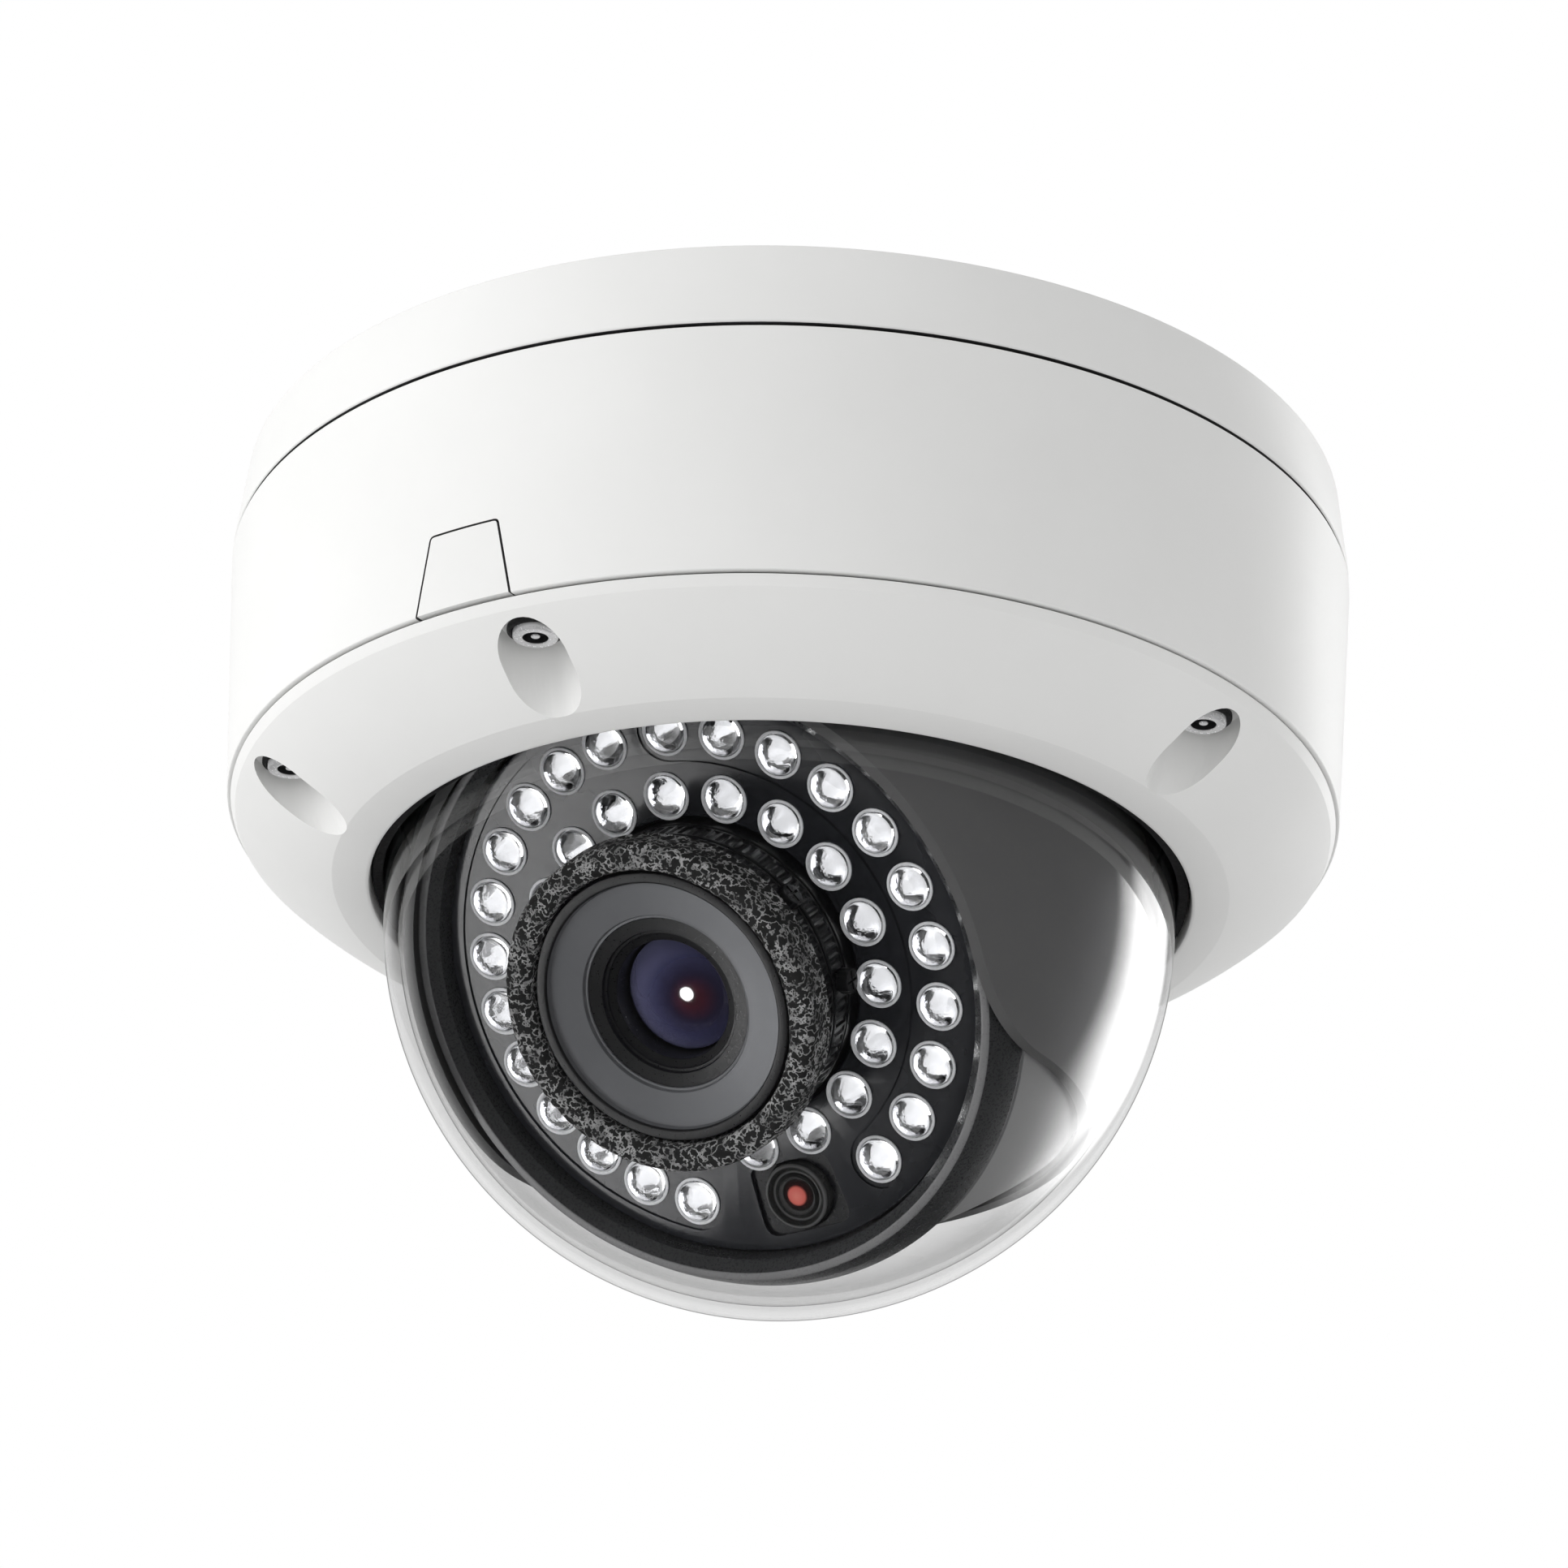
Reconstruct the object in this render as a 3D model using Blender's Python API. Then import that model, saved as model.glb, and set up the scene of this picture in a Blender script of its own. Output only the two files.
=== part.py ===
"""Vandal-resistant dome CCTV camera, 140 mm across, hanging from a ceiling.

Frame: the origin is the centre of the flat ceiling face, +Z points up into the ceiling, and the
camera hangs down along -Z. The lens looks forward and down, towards -Y and a little to -X.
"""

import math

import bmesh
import bpy
from mathutils import Matrix, Vector

MM = 0.001
ON_AXIS = 1e-6

# Outer body, top to bottom (radii and heights below the ceiling face)
TOP_RADIUS = 68.6 * MM
BODY_RADIUS = 70.0 * MM
LOWER_RADIUS = 68.8 * MM
BASE_DEPTH = 11.1 * MM
BASE_SEAM = 0.45 * MM
HOUSING_BOTTOM = -43.3 * MM
GAP = 0.3 * MM
EDGE = 0.4 * MM
CHAMFER_RADIUS = 67.7 * MM
CHAMFER_Z = -45.0 * MM
LIP_OUTER_RADIUS = 55.3 * MM
LIP_OUTER_Z = -53.4 * MM
LIP_INNER_RADIUS = 50.6 * MM
LIP_Z = -54.3 * MM
FACE_BULGE = 0.6 * MM
BODY_SEGMENTS = 48
TAPPED_HOLE = 1.5 * MM
CLEARANCE_HOLE = 1.8 * MM
OVERCUT = 1.0 * MM

# Mounting base
BASE_FLOOR = 3.5 * MM
BASE_WALL_RADIUS = 66.4 * MM
CABLE_HOLE_Y = 30.0 * MM
CABLE_HOLE_RADIUS = 12.5 * MM
GROMMET_BORE = 5.0 * MM
SLOT_CIRCLE = 50.0 * MM
SLOT_ANGLES = (0, 120, 240)
SLOT_WIDTH = 6.0 * MM
SLOT_LENGTH = 13.0 * MM
POST_CIRCLE = 61.5 * MM
POST_ANGLES = (63, 183, 303)
POST_RADIUS = 3.2 * MM
POST_HOLE_TOP = -5.0 * MM
GROMMET_LIP = 2.2 * MM
GROMMET_SLEEVE = 6.6 * MM
GROMMET_BOTTOM = -8.2 * MM

# Main housing
HOUSING_LEDGE_RADIUS = 59.0 * MM
HOUSING_LEDGE = 2.05 * MM
HOUSING_WALL_TOP = 66.6 * MM
HOUSING_WALL_BOTTOM = 66.0 * MM
HOUSING_FLANGE = 2.0 * MM
BOSS_RADIUS = 3.4 * MM
BOSS_TOP = -34.0 * MM
BOSS_HOLE_TOP = -35.5 * MM

# Main board, chassis plate and pan bearing
BOARD_TOP = -9.3 * MM
BOARD_THICKNESS = 1.6 * MM
BOARD_RADIUS = 56.5 * MM
BOARD_BORE = 7.0 * MM
STANDOFF_CIRCLE = 48.0 * MM
STANDOFF_ANGLES = (45, 165, 285)
CHASSIS_TOP = -13.9 * MM
CHASSIS_THICKNESS = 1.5 * MM
CHASSIS_RADIUS = 63.5 * MM
HUB_RADIUS = 8.0 * MM
HUB_BORE = 5.5 * MM
HUB_BOTTOM = -20.4 * MM
STANDOFF_RADIUS = 2.6 * MM
RETAINER_RADIUS = 11.5 * MM
RETAINER_THICKNESS = 1.2 * MM
RESET_BUTTON_XY = (10 * MM, 48 * MM)
SWITCH_HALF = 3.0 * MM
SWITCH_HEIGHT = 2.4 * MM
BUTTON_RADIUS = 1.6 * MM
BUTTON_HALF_HEIGHT = 1.2 * MM
BUTTON_CLEARANCE = 0.7 * MM
SINK_FINS = 5
SINK_PITCH = 4.8 * MM
SINK_GROOVE = 2.4 * MM

# Dome bubble, its gasket and clamp
PIVOT_Z = -57.4 * MM
BUBBLE_RADIUS = 48.7 * MM
BUBBLE_WALL = 1.8 * MM
FLANGE_RADIUS = 54.0 * MM
FLANGE_BOTTOM = -47.8 * MM
FLANGE_THICKNESS = 1.8 * MM
SHELF_Z = -49.4 * MM
SHELF_RADIUS = 54.6 * MM
CLAMP_CIRCLE = 51.6 * MM
CLAMP_ANGLES = (90, 210, 330)
GASKET_INNER = 49.0 * MM
GASKET_OUTER = 50.3 * MM
GASKET_BOTTOM = -53.2 * MM
CLAMP_INNER = 47.3 * MM
CLAMP_THICKNESS = 1.5 * MM

# Cover screws, by azimuth from -Y towards +X; the photo's view doesn't reach the last three
SCREW_CIRCLE = 62.5 * MM
SCREW_AZIMUTHS = (-74.5, -28.5, 53, 134, 180, 226)
SCREW_SEAT_Z = -44.6 * MM
SEAL_RADIUS = 56.6 * MM
HOUSING_MOUTH = 55.5 * MM
POCKET_RADIUS = 4.4 * MM
POCKET_SLOPE = 3.0 * MM
POCKET_SIDES = 12
GROOVE_DEPTH = 1.2 * MM
GROOVE_HALF_WIDTH = 0.8 * MM
SEAL_HALF_WIDTH = 0.5 * MM
SEAL_HEIGHT = 0.9 * MM

# Side cable cover
TAB_AZIMUTH = -34.2
TAB_TOP = -33.5 * MM
TAB_TOP_WIDTH = 9.4 * MM
TAB_BOTTOM_WIDTH = 13.2 * MM
TAB_DEPTH = 2.8 * MM
TAB_NOTCH_DEPTH = 4.4 * MM

# Pan and tilt
PAN_AT_REST = math.radians(-34.1)
TILT_AT_REST = math.radians(40.0)
BALL_RADIUS = 44.4 * MM
BALL_WALL = 1.8 * MM
BALL_SIDE = 40.4 * MM
BALL_BOTTOM = -37.0 * MM
BALL_TOP = 20.0 * MM
BALL_BACK = -14.0 * MM
BALL_FRONT = 16.8 * MM
TURNTABLE_RADIUS = 44.0 * MM
TURNTABLE_TOP = -15.7 * MM
TURNTABLE_BOTTOM = -18.2 * MM
YOKE_INNER = 41.3 * MM
YOKE_SHEET = 1.6 * MM
YOKE_HALF_WIDTH = 8.0 * MM
YOKE_HUB_RADIUS = 14.0 * MM
YOKE_SCREW_X = 25.0 * MM
PIVOT_HOLE = 2.3 * MM
SHROUD_RADIUS = 46.3 * MM
SHROUD_WALL = 1.2 * MM
SHROUD_TOP = 10.0 * MM
SHROUD_BOTTOM = -25.7 * MM
SHROUD_FRONT = 23.7 * MM
SHROUD_CORNER = 20.0 * MM

# Lens module, along the optical axis from the tilt axis outwards
PANEL_RADIUS = 35.9 * MM
PANEL_FRONT = 18.6 * MM
PANEL_THICKNESS = 1.5 * MM
PANEL_BORE = 19.7 * MM
BEZEL_FRONT = 22.1 * MM
BEZEL_FRONT_RADIUS = 38.5 * MM
BEZEL_BAND = 2.4 * MM
BEZEL_RIM = 0.9 * MM
BEZEL_SLOPE = 1.3 * MM
LED_BOARD_RADIUS = 34.8 * MM
LED_BOARD_FRONT = 14.6 * MM
LED_RADIUS = 2.5 * MM
LED_HOLE_RADIUS = 2.9 * MM
LED_TOP = 20.1 * MM
OUTER_RING = 30.4 * MM
OUTER_ARCS = ((-64.0, 14.45, 11), (97.0, 13.4, 12))
INNER_RING = 22.5 * MM
INNER_COUNT = 18
INNER_PHASE = 4.0
SENSOR_RING = 29.4 * MM
SENSOR_ANGLE = -88.0
SENSOR_RADIUS = 4.2 * MM
BARREL_BORE = 12.4 * MM
BARREL_RADIUS = 14.3 * MM
BARREL_BACK = -3.0 * MM
COLLAR_BACK = 14.9 * MM
RING_RADIUS = 19.2 * MM
RING_BORE = 16.7 * MM
ZOOM_RING_Z = (20.4 * MM, 24.0 * MM)
FOCUS_RING_Z = (24.3 * MM, 28.2 * MM)
ZOOM_SCREW_ANGLE = -12.0
FOCUS_SCREW_ANGLE = 24.0
FRAME_BORE = 14.6 * MM
FRAME_TUBE_RADIUS = 17.0 * MM
FRAME_BACK = -3.5 * MM
FRAME_DISC = (9.5 * MM, 12.6 * MM)
MODULE_POST = 15.0 * MM
SENSOR_BOARD_HALF = 18.0 * MM
SENSOR_BOARD_FRONT = -12.4 * MM
FOAM_RADIUS = 20.8 * MM
FOAM_BORE = 17.2 * MM
FOAM_FRONT = 33.6 * MM


# ---------------------------------------------------------------- tools


def clear_scene():
    for obj in list(bpy.data.objects):
        bpy.data.objects.remove(obj, do_unlink=True)


def make_material(name, color, roughness, metallic=0.0):
    material = bpy.data.materials.new(name)
    material.use_nodes = True
    shader = material.node_tree.nodes["Principled BSDF"]
    shader.inputs["Base Color"].default_value = (*color, 1.0)
    shader.inputs["Roughness"].default_value = roughness
    shader.inputs["Metallic"].default_value = metallic
    return material


def make_empty(name, location, rotation, parent=None):
    empty = bpy.data.objects.new(name, None)
    empty.location = location
    empty.rotation_euler = rotation
    empty.parent = parent
    bpy.context.scene.collection.objects.link(empty)
    return empty


def make_object(name, bm, material=None, parent=None):
    """The bmesh as a closed, outward-facing object; without a material it is a cutting tool."""
    bmesh.ops.recalc_face_normals(bm, faces=bm.faces)
    mesh = bpy.data.meshes.new(name)
    bm.to_mesh(mesh)
    bm.free()
    obj = bpy.data.objects.new(name, mesh)
    obj.parent = parent
    bpy.context.scene.collection.objects.link(obj)
    if material is None:
        obj.hide_render = True
        obj.display_type = "WIRE"
    else:
        mesh.materials.append(material)
        mesh.shade_smooth()
        mesh.set_sharp_from_angle(angle=math.radians(32))
    return obj


def boolean(target, tool, operation="DIFFERENCE"):
    modifier = target.modifiers.new(tool.name, "BOOLEAN")
    modifier.solver = "EXACT"
    modifier.operation = operation
    modifier.object = tool


def on_circle(radius, degrees):
    return Vector((radius * math.cos(math.radians(degrees)), radius * math.sin(math.radians(degrees))))


def at_azimuth(radius, azimuth):
    """A point at an azimuth measured from -Y towards +X, in degrees."""
    return on_circle(radius, azimuth - 90)


def arc_points(radius, start, end, steps, centre=(0.0, 0.0)):
    """Points on a circle in an (r, z) plane, from angle start to angle end, in radians."""
    points = []
    for i in range(steps + 1):
        angle = start + (end - start) * i / steps
        points.append((centre[0] + radius * math.cos(angle), centre[1] + radius * math.sin(angle)))
    return points


def sphere_run(radius, z_start, z_end, steps):
    """Points down or up a sphere about the origin, between two heights."""
    return arc_points(radius, math.asin(z_start / radius), math.asin(z_end / radius), steps)


def bulged(start, end, bulge, steps):
    """Points from start to end along a shallow arc that stands proud of the chord by bulge."""
    start, end = Vector(start), Vector(end)
    chord = end - start
    normal = Vector((-chord.y, chord.x)).normalized()
    if normal.x < 0:
        normal = -normal
    points = []
    for i in range(steps + 1):
        t = i / steps
        points.append(tuple(start + chord * t + normal * bulge * 4 * t * (1 - t)))
    return points


def revolve(bm, outline, segments, centre=(0.0, 0.0)):
    """Turns a closed (r, z) outline about the vertical line through centre."""
    rings = []
    for r, z in outline:
        if r < ON_AXIS:
            rings.append([bm.verts.new((centre[0], centre[1], z))])
            continue
        ring = []
        for i in range(segments):
            angle = 2 * math.pi * i / segments
            x = centre[0] + r * math.cos(angle)
            y = centre[1] + r * math.sin(angle)
            ring.append(bm.verts.new((x, y, z)))
        rings.append(ring)
    for lower, upper in zip(rings, rings[1:] + rings[:1]):
        if len(lower) == 1 and len(upper) == 1:
            continue
        for i in range(segments):
            j = (i + 1) % segments
            corners = [lower[i % len(lower)], lower[j % len(lower)]]
            corners += [upper[j % len(upper)], upper[i % len(upper)]]
            bm.faces.new(list(dict.fromkeys(corners)))


def turned(name, outline, segments, material, parent=None, centre=(0.0, 0.0)):
    bm = bmesh.new()
    revolve(bm, outline, segments, centre)
    return make_object(name, bm, material, parent)


def rod(bm, radius, z_low, z_high, segments, centre=(0.0, 0.0)):
    revolve(bm, [(0.0, z_low), (radius, z_low), (radius, z_high), (0.0, z_high)], segments, centre)


def extrude_outline(bm, outline, z_low, z_high):
    """A prism over a closed (x, y) outline."""
    low = [bm.verts.new((x, y, z_low)) for x, y in outline]
    high = [bm.verts.new((x, y, z_high)) for x, y in outline]
    count = len(outline)
    bm.faces.new(low[::-1])
    bm.faces.new(high)
    for i in range(count):
        j = (i + 1) % count
        bm.faces.new((low[i], low[j], high[j], high[i]))


def box(bm, low, high):
    corners = [(low[0], low[1]), (high[0], low[1]), (high[0], high[1]), (low[0], high[1])]
    extrude_outline(bm, corners, low[2], high[2])


def capsule_outline(length, width, angle, centre, steps=4):
    """A slot outline: a rectangle with round ends, its long side turned to angle in degrees."""
    reach = (length - width) / 2
    points = arc_points(width / 2, -math.pi / 2, math.pi / 2, steps, (reach, 0.0))
    points += arc_points(width / 2, math.pi / 2, 3 * math.pi / 2, steps, (-reach, 0.0))
    turn = Matrix.Rotation(math.radians(angle), 2)
    return [tuple(turn @ Vector(p) + Vector(centre)) for p in points]


def clip(bm, point, normal):
    """Removes the side that normal points to, and closes the cut."""
    geometry = bm.verts[:] + bm.edges[:] + bm.faces[:]
    cut = bmesh.ops.bisect_plane(bm, geom=geometry, plane_co=point, plane_no=normal, clear_outer=True)
    edges = [e for e in cut["geom_cut"] if isinstance(e, bmesh.types.BMEdge)]
    bmesh.ops.contextual_create(bm, geom=edges)


def screw(name, head_radius, head_height, shank_radius, length, material, parent=None, sides=8):
    """A socket-head screw: the head stands on z = 0 and faces +Z, the shank runs down."""
    socket_radius = head_radius * 0.48
    socket_depth = head_height * 0.55
    outline = [(0.0, -length), (shank_radius, -length), (shank_radius, 0.0), (head_radius, 0.0)]
    outline += [(head_radius, head_height), (socket_radius, head_height)]
    outline += [(socket_radius, head_height - socket_depth), (0.0, head_height - socket_depth)]
    return turned(name, outline, sides, material, parent)


# ---------------------------------------------------------------- fixed housing


def body_radius_at(z):
    share = (-z - BASE_DEPTH) / (-HOUSING_BOTTOM - BASE_DEPTH)
    return BODY_RADIUS + (LOWER_RADIUS - BODY_RADIUS) * share


def make_mounting_base(paint, rubber):
    outline = [(0.0, 0.0), (TOP_RADIUS - EDGE, 0.0), (TOP_RADIUS, -EDGE)]
    outline += [(BODY_RADIUS, -BASE_DEPTH + EDGE), (BODY_RADIUS - EDGE, -BASE_DEPTH)]
    outline += [(BASE_WALL_RADIUS, -BASE_DEPTH), (BASE_WALL_RADIUS - EDGE, -BASE_FLOOR), (0.0, -BASE_FLOOR)]
    base = turned("mounting_base", outline, BODY_SEGMENTS, paint)

    posts = bmesh.new()
    holes = bmesh.new()
    for angle in POST_ANGLES:
        rod(posts, POST_RADIUS, -BASE_DEPTH + GAP, -BASE_FLOOR / 2, 12, on_circle(POST_CIRCLE, angle))
        rod(holes, TAPPED_HOLE, -BASE_DEPTH - OVERCUT, POST_HOLE_TOP, 8, on_circle(POST_CIRCLE, angle))
    for angle in SLOT_ANGLES:
        slot = capsule_outline(SLOT_LENGTH, SLOT_WIDTH, angle + 90, on_circle(SLOT_CIRCLE, angle))
        extrude_outline(holes, slot, -BASE_FLOOR - OVERCUT, OVERCUT)
    rod(holes, CABLE_HOLE_RADIUS, -BASE_FLOOR - OVERCUT, OVERCUT, 24, (0.0, CABLE_HOLE_Y))
    boolean(base, make_object("base_posts", posts), "UNION")
    boolean(base, make_object("base_holes", holes))

    neck = CABLE_HOLE_RADIUS - GAP
    flange_top = -BASE_FLOOR - GAP
    lip = neck + GROMMET_LIP
    sleeve = [(GROMMET_BORE, -EDGE), (neck, -EDGE), (neck, flange_top), (lip, flange_top)]
    sleeve += [(lip, flange_top - 3 * EDGE), (GROMMET_BORE + 3.0 * MM, flange_top - 4 * EDGE)]
    sleeve += [(GROMMET_SLEEVE, GROMMET_BOTTOM), (GROMMET_BORE, GROMMET_BOTTOM)]
    turned("cable_grommet", sleeve, 24, rubber, centre=(0.0, CABLE_HOLE_Y))


def make_main_board(board, plastic, metal, button_plastic, steel):
    bottom = BOARD_TOP - BOARD_THICKNESS
    disc = [(BOARD_BORE, BOARD_TOP), (BOARD_RADIUS, BOARD_TOP), (BOARD_RADIUS, bottom), (BOARD_BORE, bottom)]
    main = turned("main_board", disc, 32, board)
    holes = bmesh.new()
    for angle in STANDOFF_ANGLES:
        rod(holes, TAPPED_HOLE, bottom - OVERCUT, BOARD_TOP + OVERCUT, 8, on_circle(STANDOFF_CIRCLE, angle))
    boolean(main, make_object("board_holes", holes))
    for i, angle in enumerate(STANDOFF_ANGLES):
        fixing = screw(f"main_board_screw_{i + 1}", 2.4 * MM, 1.5 * MM, 1.2 * MM, 3.6 * MM, steel)
        fixing.location = (*on_circle(STANDOFF_CIRCLE, angle), BOARD_TOP + GAP)

    header = bmesh.new()
    box(header, (-34 * MM, 12 * MM, BOARD_TOP + GAP), (-18 * MM, 19 * MM, BOARD_TOP + 4.8 * MM))
    slot = bmesh.new()
    box(slot, (-33 * MM, 13 * MM, BOARD_TOP + 1.2 * MM), (-19 * MM, 18 * MM, BOARD_TOP + 6 * MM))
    boolean(make_object("network_header", header, plastic), make_object("header_well", slot))

    under = bottom - GAP
    card = bmesh.new()
    box(card, (-19 * MM, 37.5 * MM, under - 1.9 * MM), (-5 * MM, 52.5 * MM, under))
    mouth = bmesh.new()
    box(mouth, (-17.5 * MM, 44 * MM, under - 1.4 * MM), (-6.5 * MM, 54 * MM, under - 0.6 * MM))
    boolean(make_object("sd_card_slot", card, metal), make_object("card_mouth", mouth))

    switch = bmesh.new()
    corner = Vector((SWITCH_HALF, SWITCH_HALF))
    middle = Vector(RESET_BUTTON_XY)
    box(switch, (*(middle - corner), under - SWITCH_HEIGHT), (*(middle + corner), under))
    make_object("reset_switch", switch, metal)
    low, high = -BUTTON_HALF_HEIGHT, BUTTON_HALF_HEIGHT
    cap = [(0.0, low), (BUTTON_RADIUS - GAP, low), (BUTTON_RADIUS, low + GAP)]
    cap += [(BUTTON_RADIUS, high), (0.0, high)]
    button = turned("reset_button", cap, 16, button_plastic)
    button.location = (*middle, under - SWITCH_HEIGHT - BUTTON_CLEARANCE - BUTTON_HALF_HEIGHT)

    sink = bmesh.new()
    box(sink, (12 * MM, -30 * MM, under - 2.4 * MM), (34 * MM, -8 * MM, under))
    grooves = bmesh.new()
    for i in range(SINK_FINS - 1):
        left = 14.6 * MM + i * SINK_PITCH
        box(grooves, (left, -31 * MM, under - 3 * MM), (left + SINK_GROOVE, -7 * MM, under - 0.9 * MM))
    boolean(make_object("soc_heat_sink", sink, metal), make_object("sink_grooves", grooves))


def make_chassis(steel_sheet, steel, plastic):
    bottom = CHASSIS_TOP - CHASSIS_THICKNESS
    outline = [(HUB_BORE, CHASSIS_TOP), (CHASSIS_RADIUS, CHASSIS_TOP), (CHASSIS_RADIUS, bottom)]
    outline += [(HUB_RADIUS, bottom), (HUB_RADIUS, HUB_BOTTOM), (HUB_BORE, HUB_BOTTOM)]
    plate = turned("chassis_plate", outline, 32, steel_sheet)
    standoffs = bmesh.new()
    holes = bmesh.new()
    standoff_top = BOARD_TOP - BOARD_THICKNESS - GAP
    for angle in STANDOFF_ANGLES:
        spot = on_circle(STANDOFF_CIRCLE, angle)
        rod(standoffs, STANDOFF_RADIUS, CHASSIS_TOP - CHASSIS_THICKNESS / 2, standoff_top, 10, spot)
        rod(holes, TAPPED_HOLE, bottom - OVERCUT, standoff_top + OVERCUT, 8, spot)
    for angle in POST_ANGLES:
        rod(holes, CLEARANCE_HOLE, bottom - OVERCUT, CHASSIS_TOP + OVERCUT, 8, on_circle(POST_CIRCLE, angle))
    box(holes, (-22 * MM, 36 * MM, bottom - OVERCUT), (16 * MM, 55 * MM, CHASSIS_TOP + OVERCUT))
    boolean(plate, make_object("standoffs", standoffs), "UNION")
    boolean(plate, make_object("chassis_holes", holes))
    for i, angle in enumerate(POST_ANGLES):
        fixing = screw(f"chassis_screw_{i + 1}", 2.6 * MM, 1.8 * MM, 1.2 * MM, 9.0 * MM, steel)
        fixing.location = (*on_circle(POST_CIRCLE, angle), bottom - GAP)
        fixing.rotation_euler = (math.pi, 0.0, 0.0)

    low = HUB_BOTTOM - GAP
    foot = low - RETAINER_THICKNESS
    washer = [(HUB_BORE, low), (RETAINER_RADIUS, low), (RETAINER_RADIUS, foot), (HUB_BORE, foot)]
    turned("pan_retainer", washer, 24, plastic)


def tab_outline(clearance):
    """The trapezoid of the side cable cover, seen from outside: x across, y up."""
    low = HOUSING_BOTTOM + GAP - clearance * 4
    high = TAB_TOP + clearance
    slope = (TAB_BOTTOM_WIDTH - TAB_TOP_WIDTH) / 2 / (TAB_TOP - HOUSING_BOTTOM)
    top_half = TAB_TOP_WIDTH / 2 + clearance - slope * clearance
    bottom_half = top_half + slope * (high - low)
    return [(-bottom_half, low), (bottom_half, low), (top_half, high), (-top_half, high)]


def make_tab_prism(name, clearance, depth_from, depth_to):
    bm = bmesh.new()
    extrude_outline(bm, tab_outline(clearance), depth_from, depth_to)
    prism = make_object(name, bm)
    upright = Matrix.Rotation(math.pi / 2, 4, "X")
    turn = Matrix.Rotation(math.radians(TAB_AZIMUTH), 4, "Z")
    prism.matrix_world = turn @ upright
    return prism


def make_housing(paint, trim_paint):
    top = -BASE_DEPTH - BASE_SEAM
    ledge = top - HOUSING_LEDGE
    flange_top = HOUSING_BOTTOM + HOUSING_FLANGE
    outline = [(HOUSING_LEDGE_RADIUS, top), (BODY_RADIUS - EDGE, top), (BODY_RADIUS, top - EDGE)]
    outline += [(LOWER_RADIUS, HOUSING_BOTTOM + EDGE), (LOWER_RADIUS - EDGE, HOUSING_BOTTOM)]
    outline += [(HOUSING_MOUTH, HOUSING_BOTTOM), (HOUSING_MOUTH, flange_top)]
    outline += [(HOUSING_WALL_BOTTOM, flange_top), (HOUSING_WALL_TOP, ledge), (HOUSING_LEDGE_RADIUS, ledge)]
    housing = turned("main_housing", outline, BODY_SEGMENTS, paint)
    bosses = bmesh.new()
    holes = bmesh.new()
    for azimuth in SCREW_AZIMUTHS:
        spot = at_azimuth(SCREW_CIRCLE, azimuth)
        rod(bosses, BOSS_RADIUS, HOUSING_BOTTOM + HOUSING_FLANGE / 2, BOSS_TOP, 12, spot)
        rod(holes, CLEARANCE_HOLE, HOUSING_BOTTOM - OVERCUT, BOSS_HOLE_TOP, 10, spot)
    for angle in POST_ANGLES:
        rod(holes, CLEARANCE_HOLE, ledge - OVERCUT, top + OVERCUT, 8, on_circle(POST_CIRCLE, angle))
    boolean(housing, make_object("housing_bosses", bosses), "UNION")
    boolean(housing, make_tab_prism("tab_notch", GAP, BODY_RADIUS - TAB_NOTCH_DEPTH, BODY_RADIUS + 5 * MM))
    boolean(housing, make_object("housing_holes", holes))

    inner = body_radius_at(TAB_TOP) - TAB_DEPTH
    above, below = TAB_TOP + 2 * OVERCUT, HOUSING_BOTTOM - 2 * OVERCUT
    band = [(inner, above), (body_radius_at(above), above), (body_radius_at(below), below), (inner, below)]
    tab = turned("side_cable_cover", band, BODY_SEGMENTS, trim_paint)
    boolean(tab, make_tab_prism("tab_shape", 0.0, BODY_RADIUS - 8 * MM, BODY_RADIUS + 5 * MM), "INTERSECT")


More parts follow.
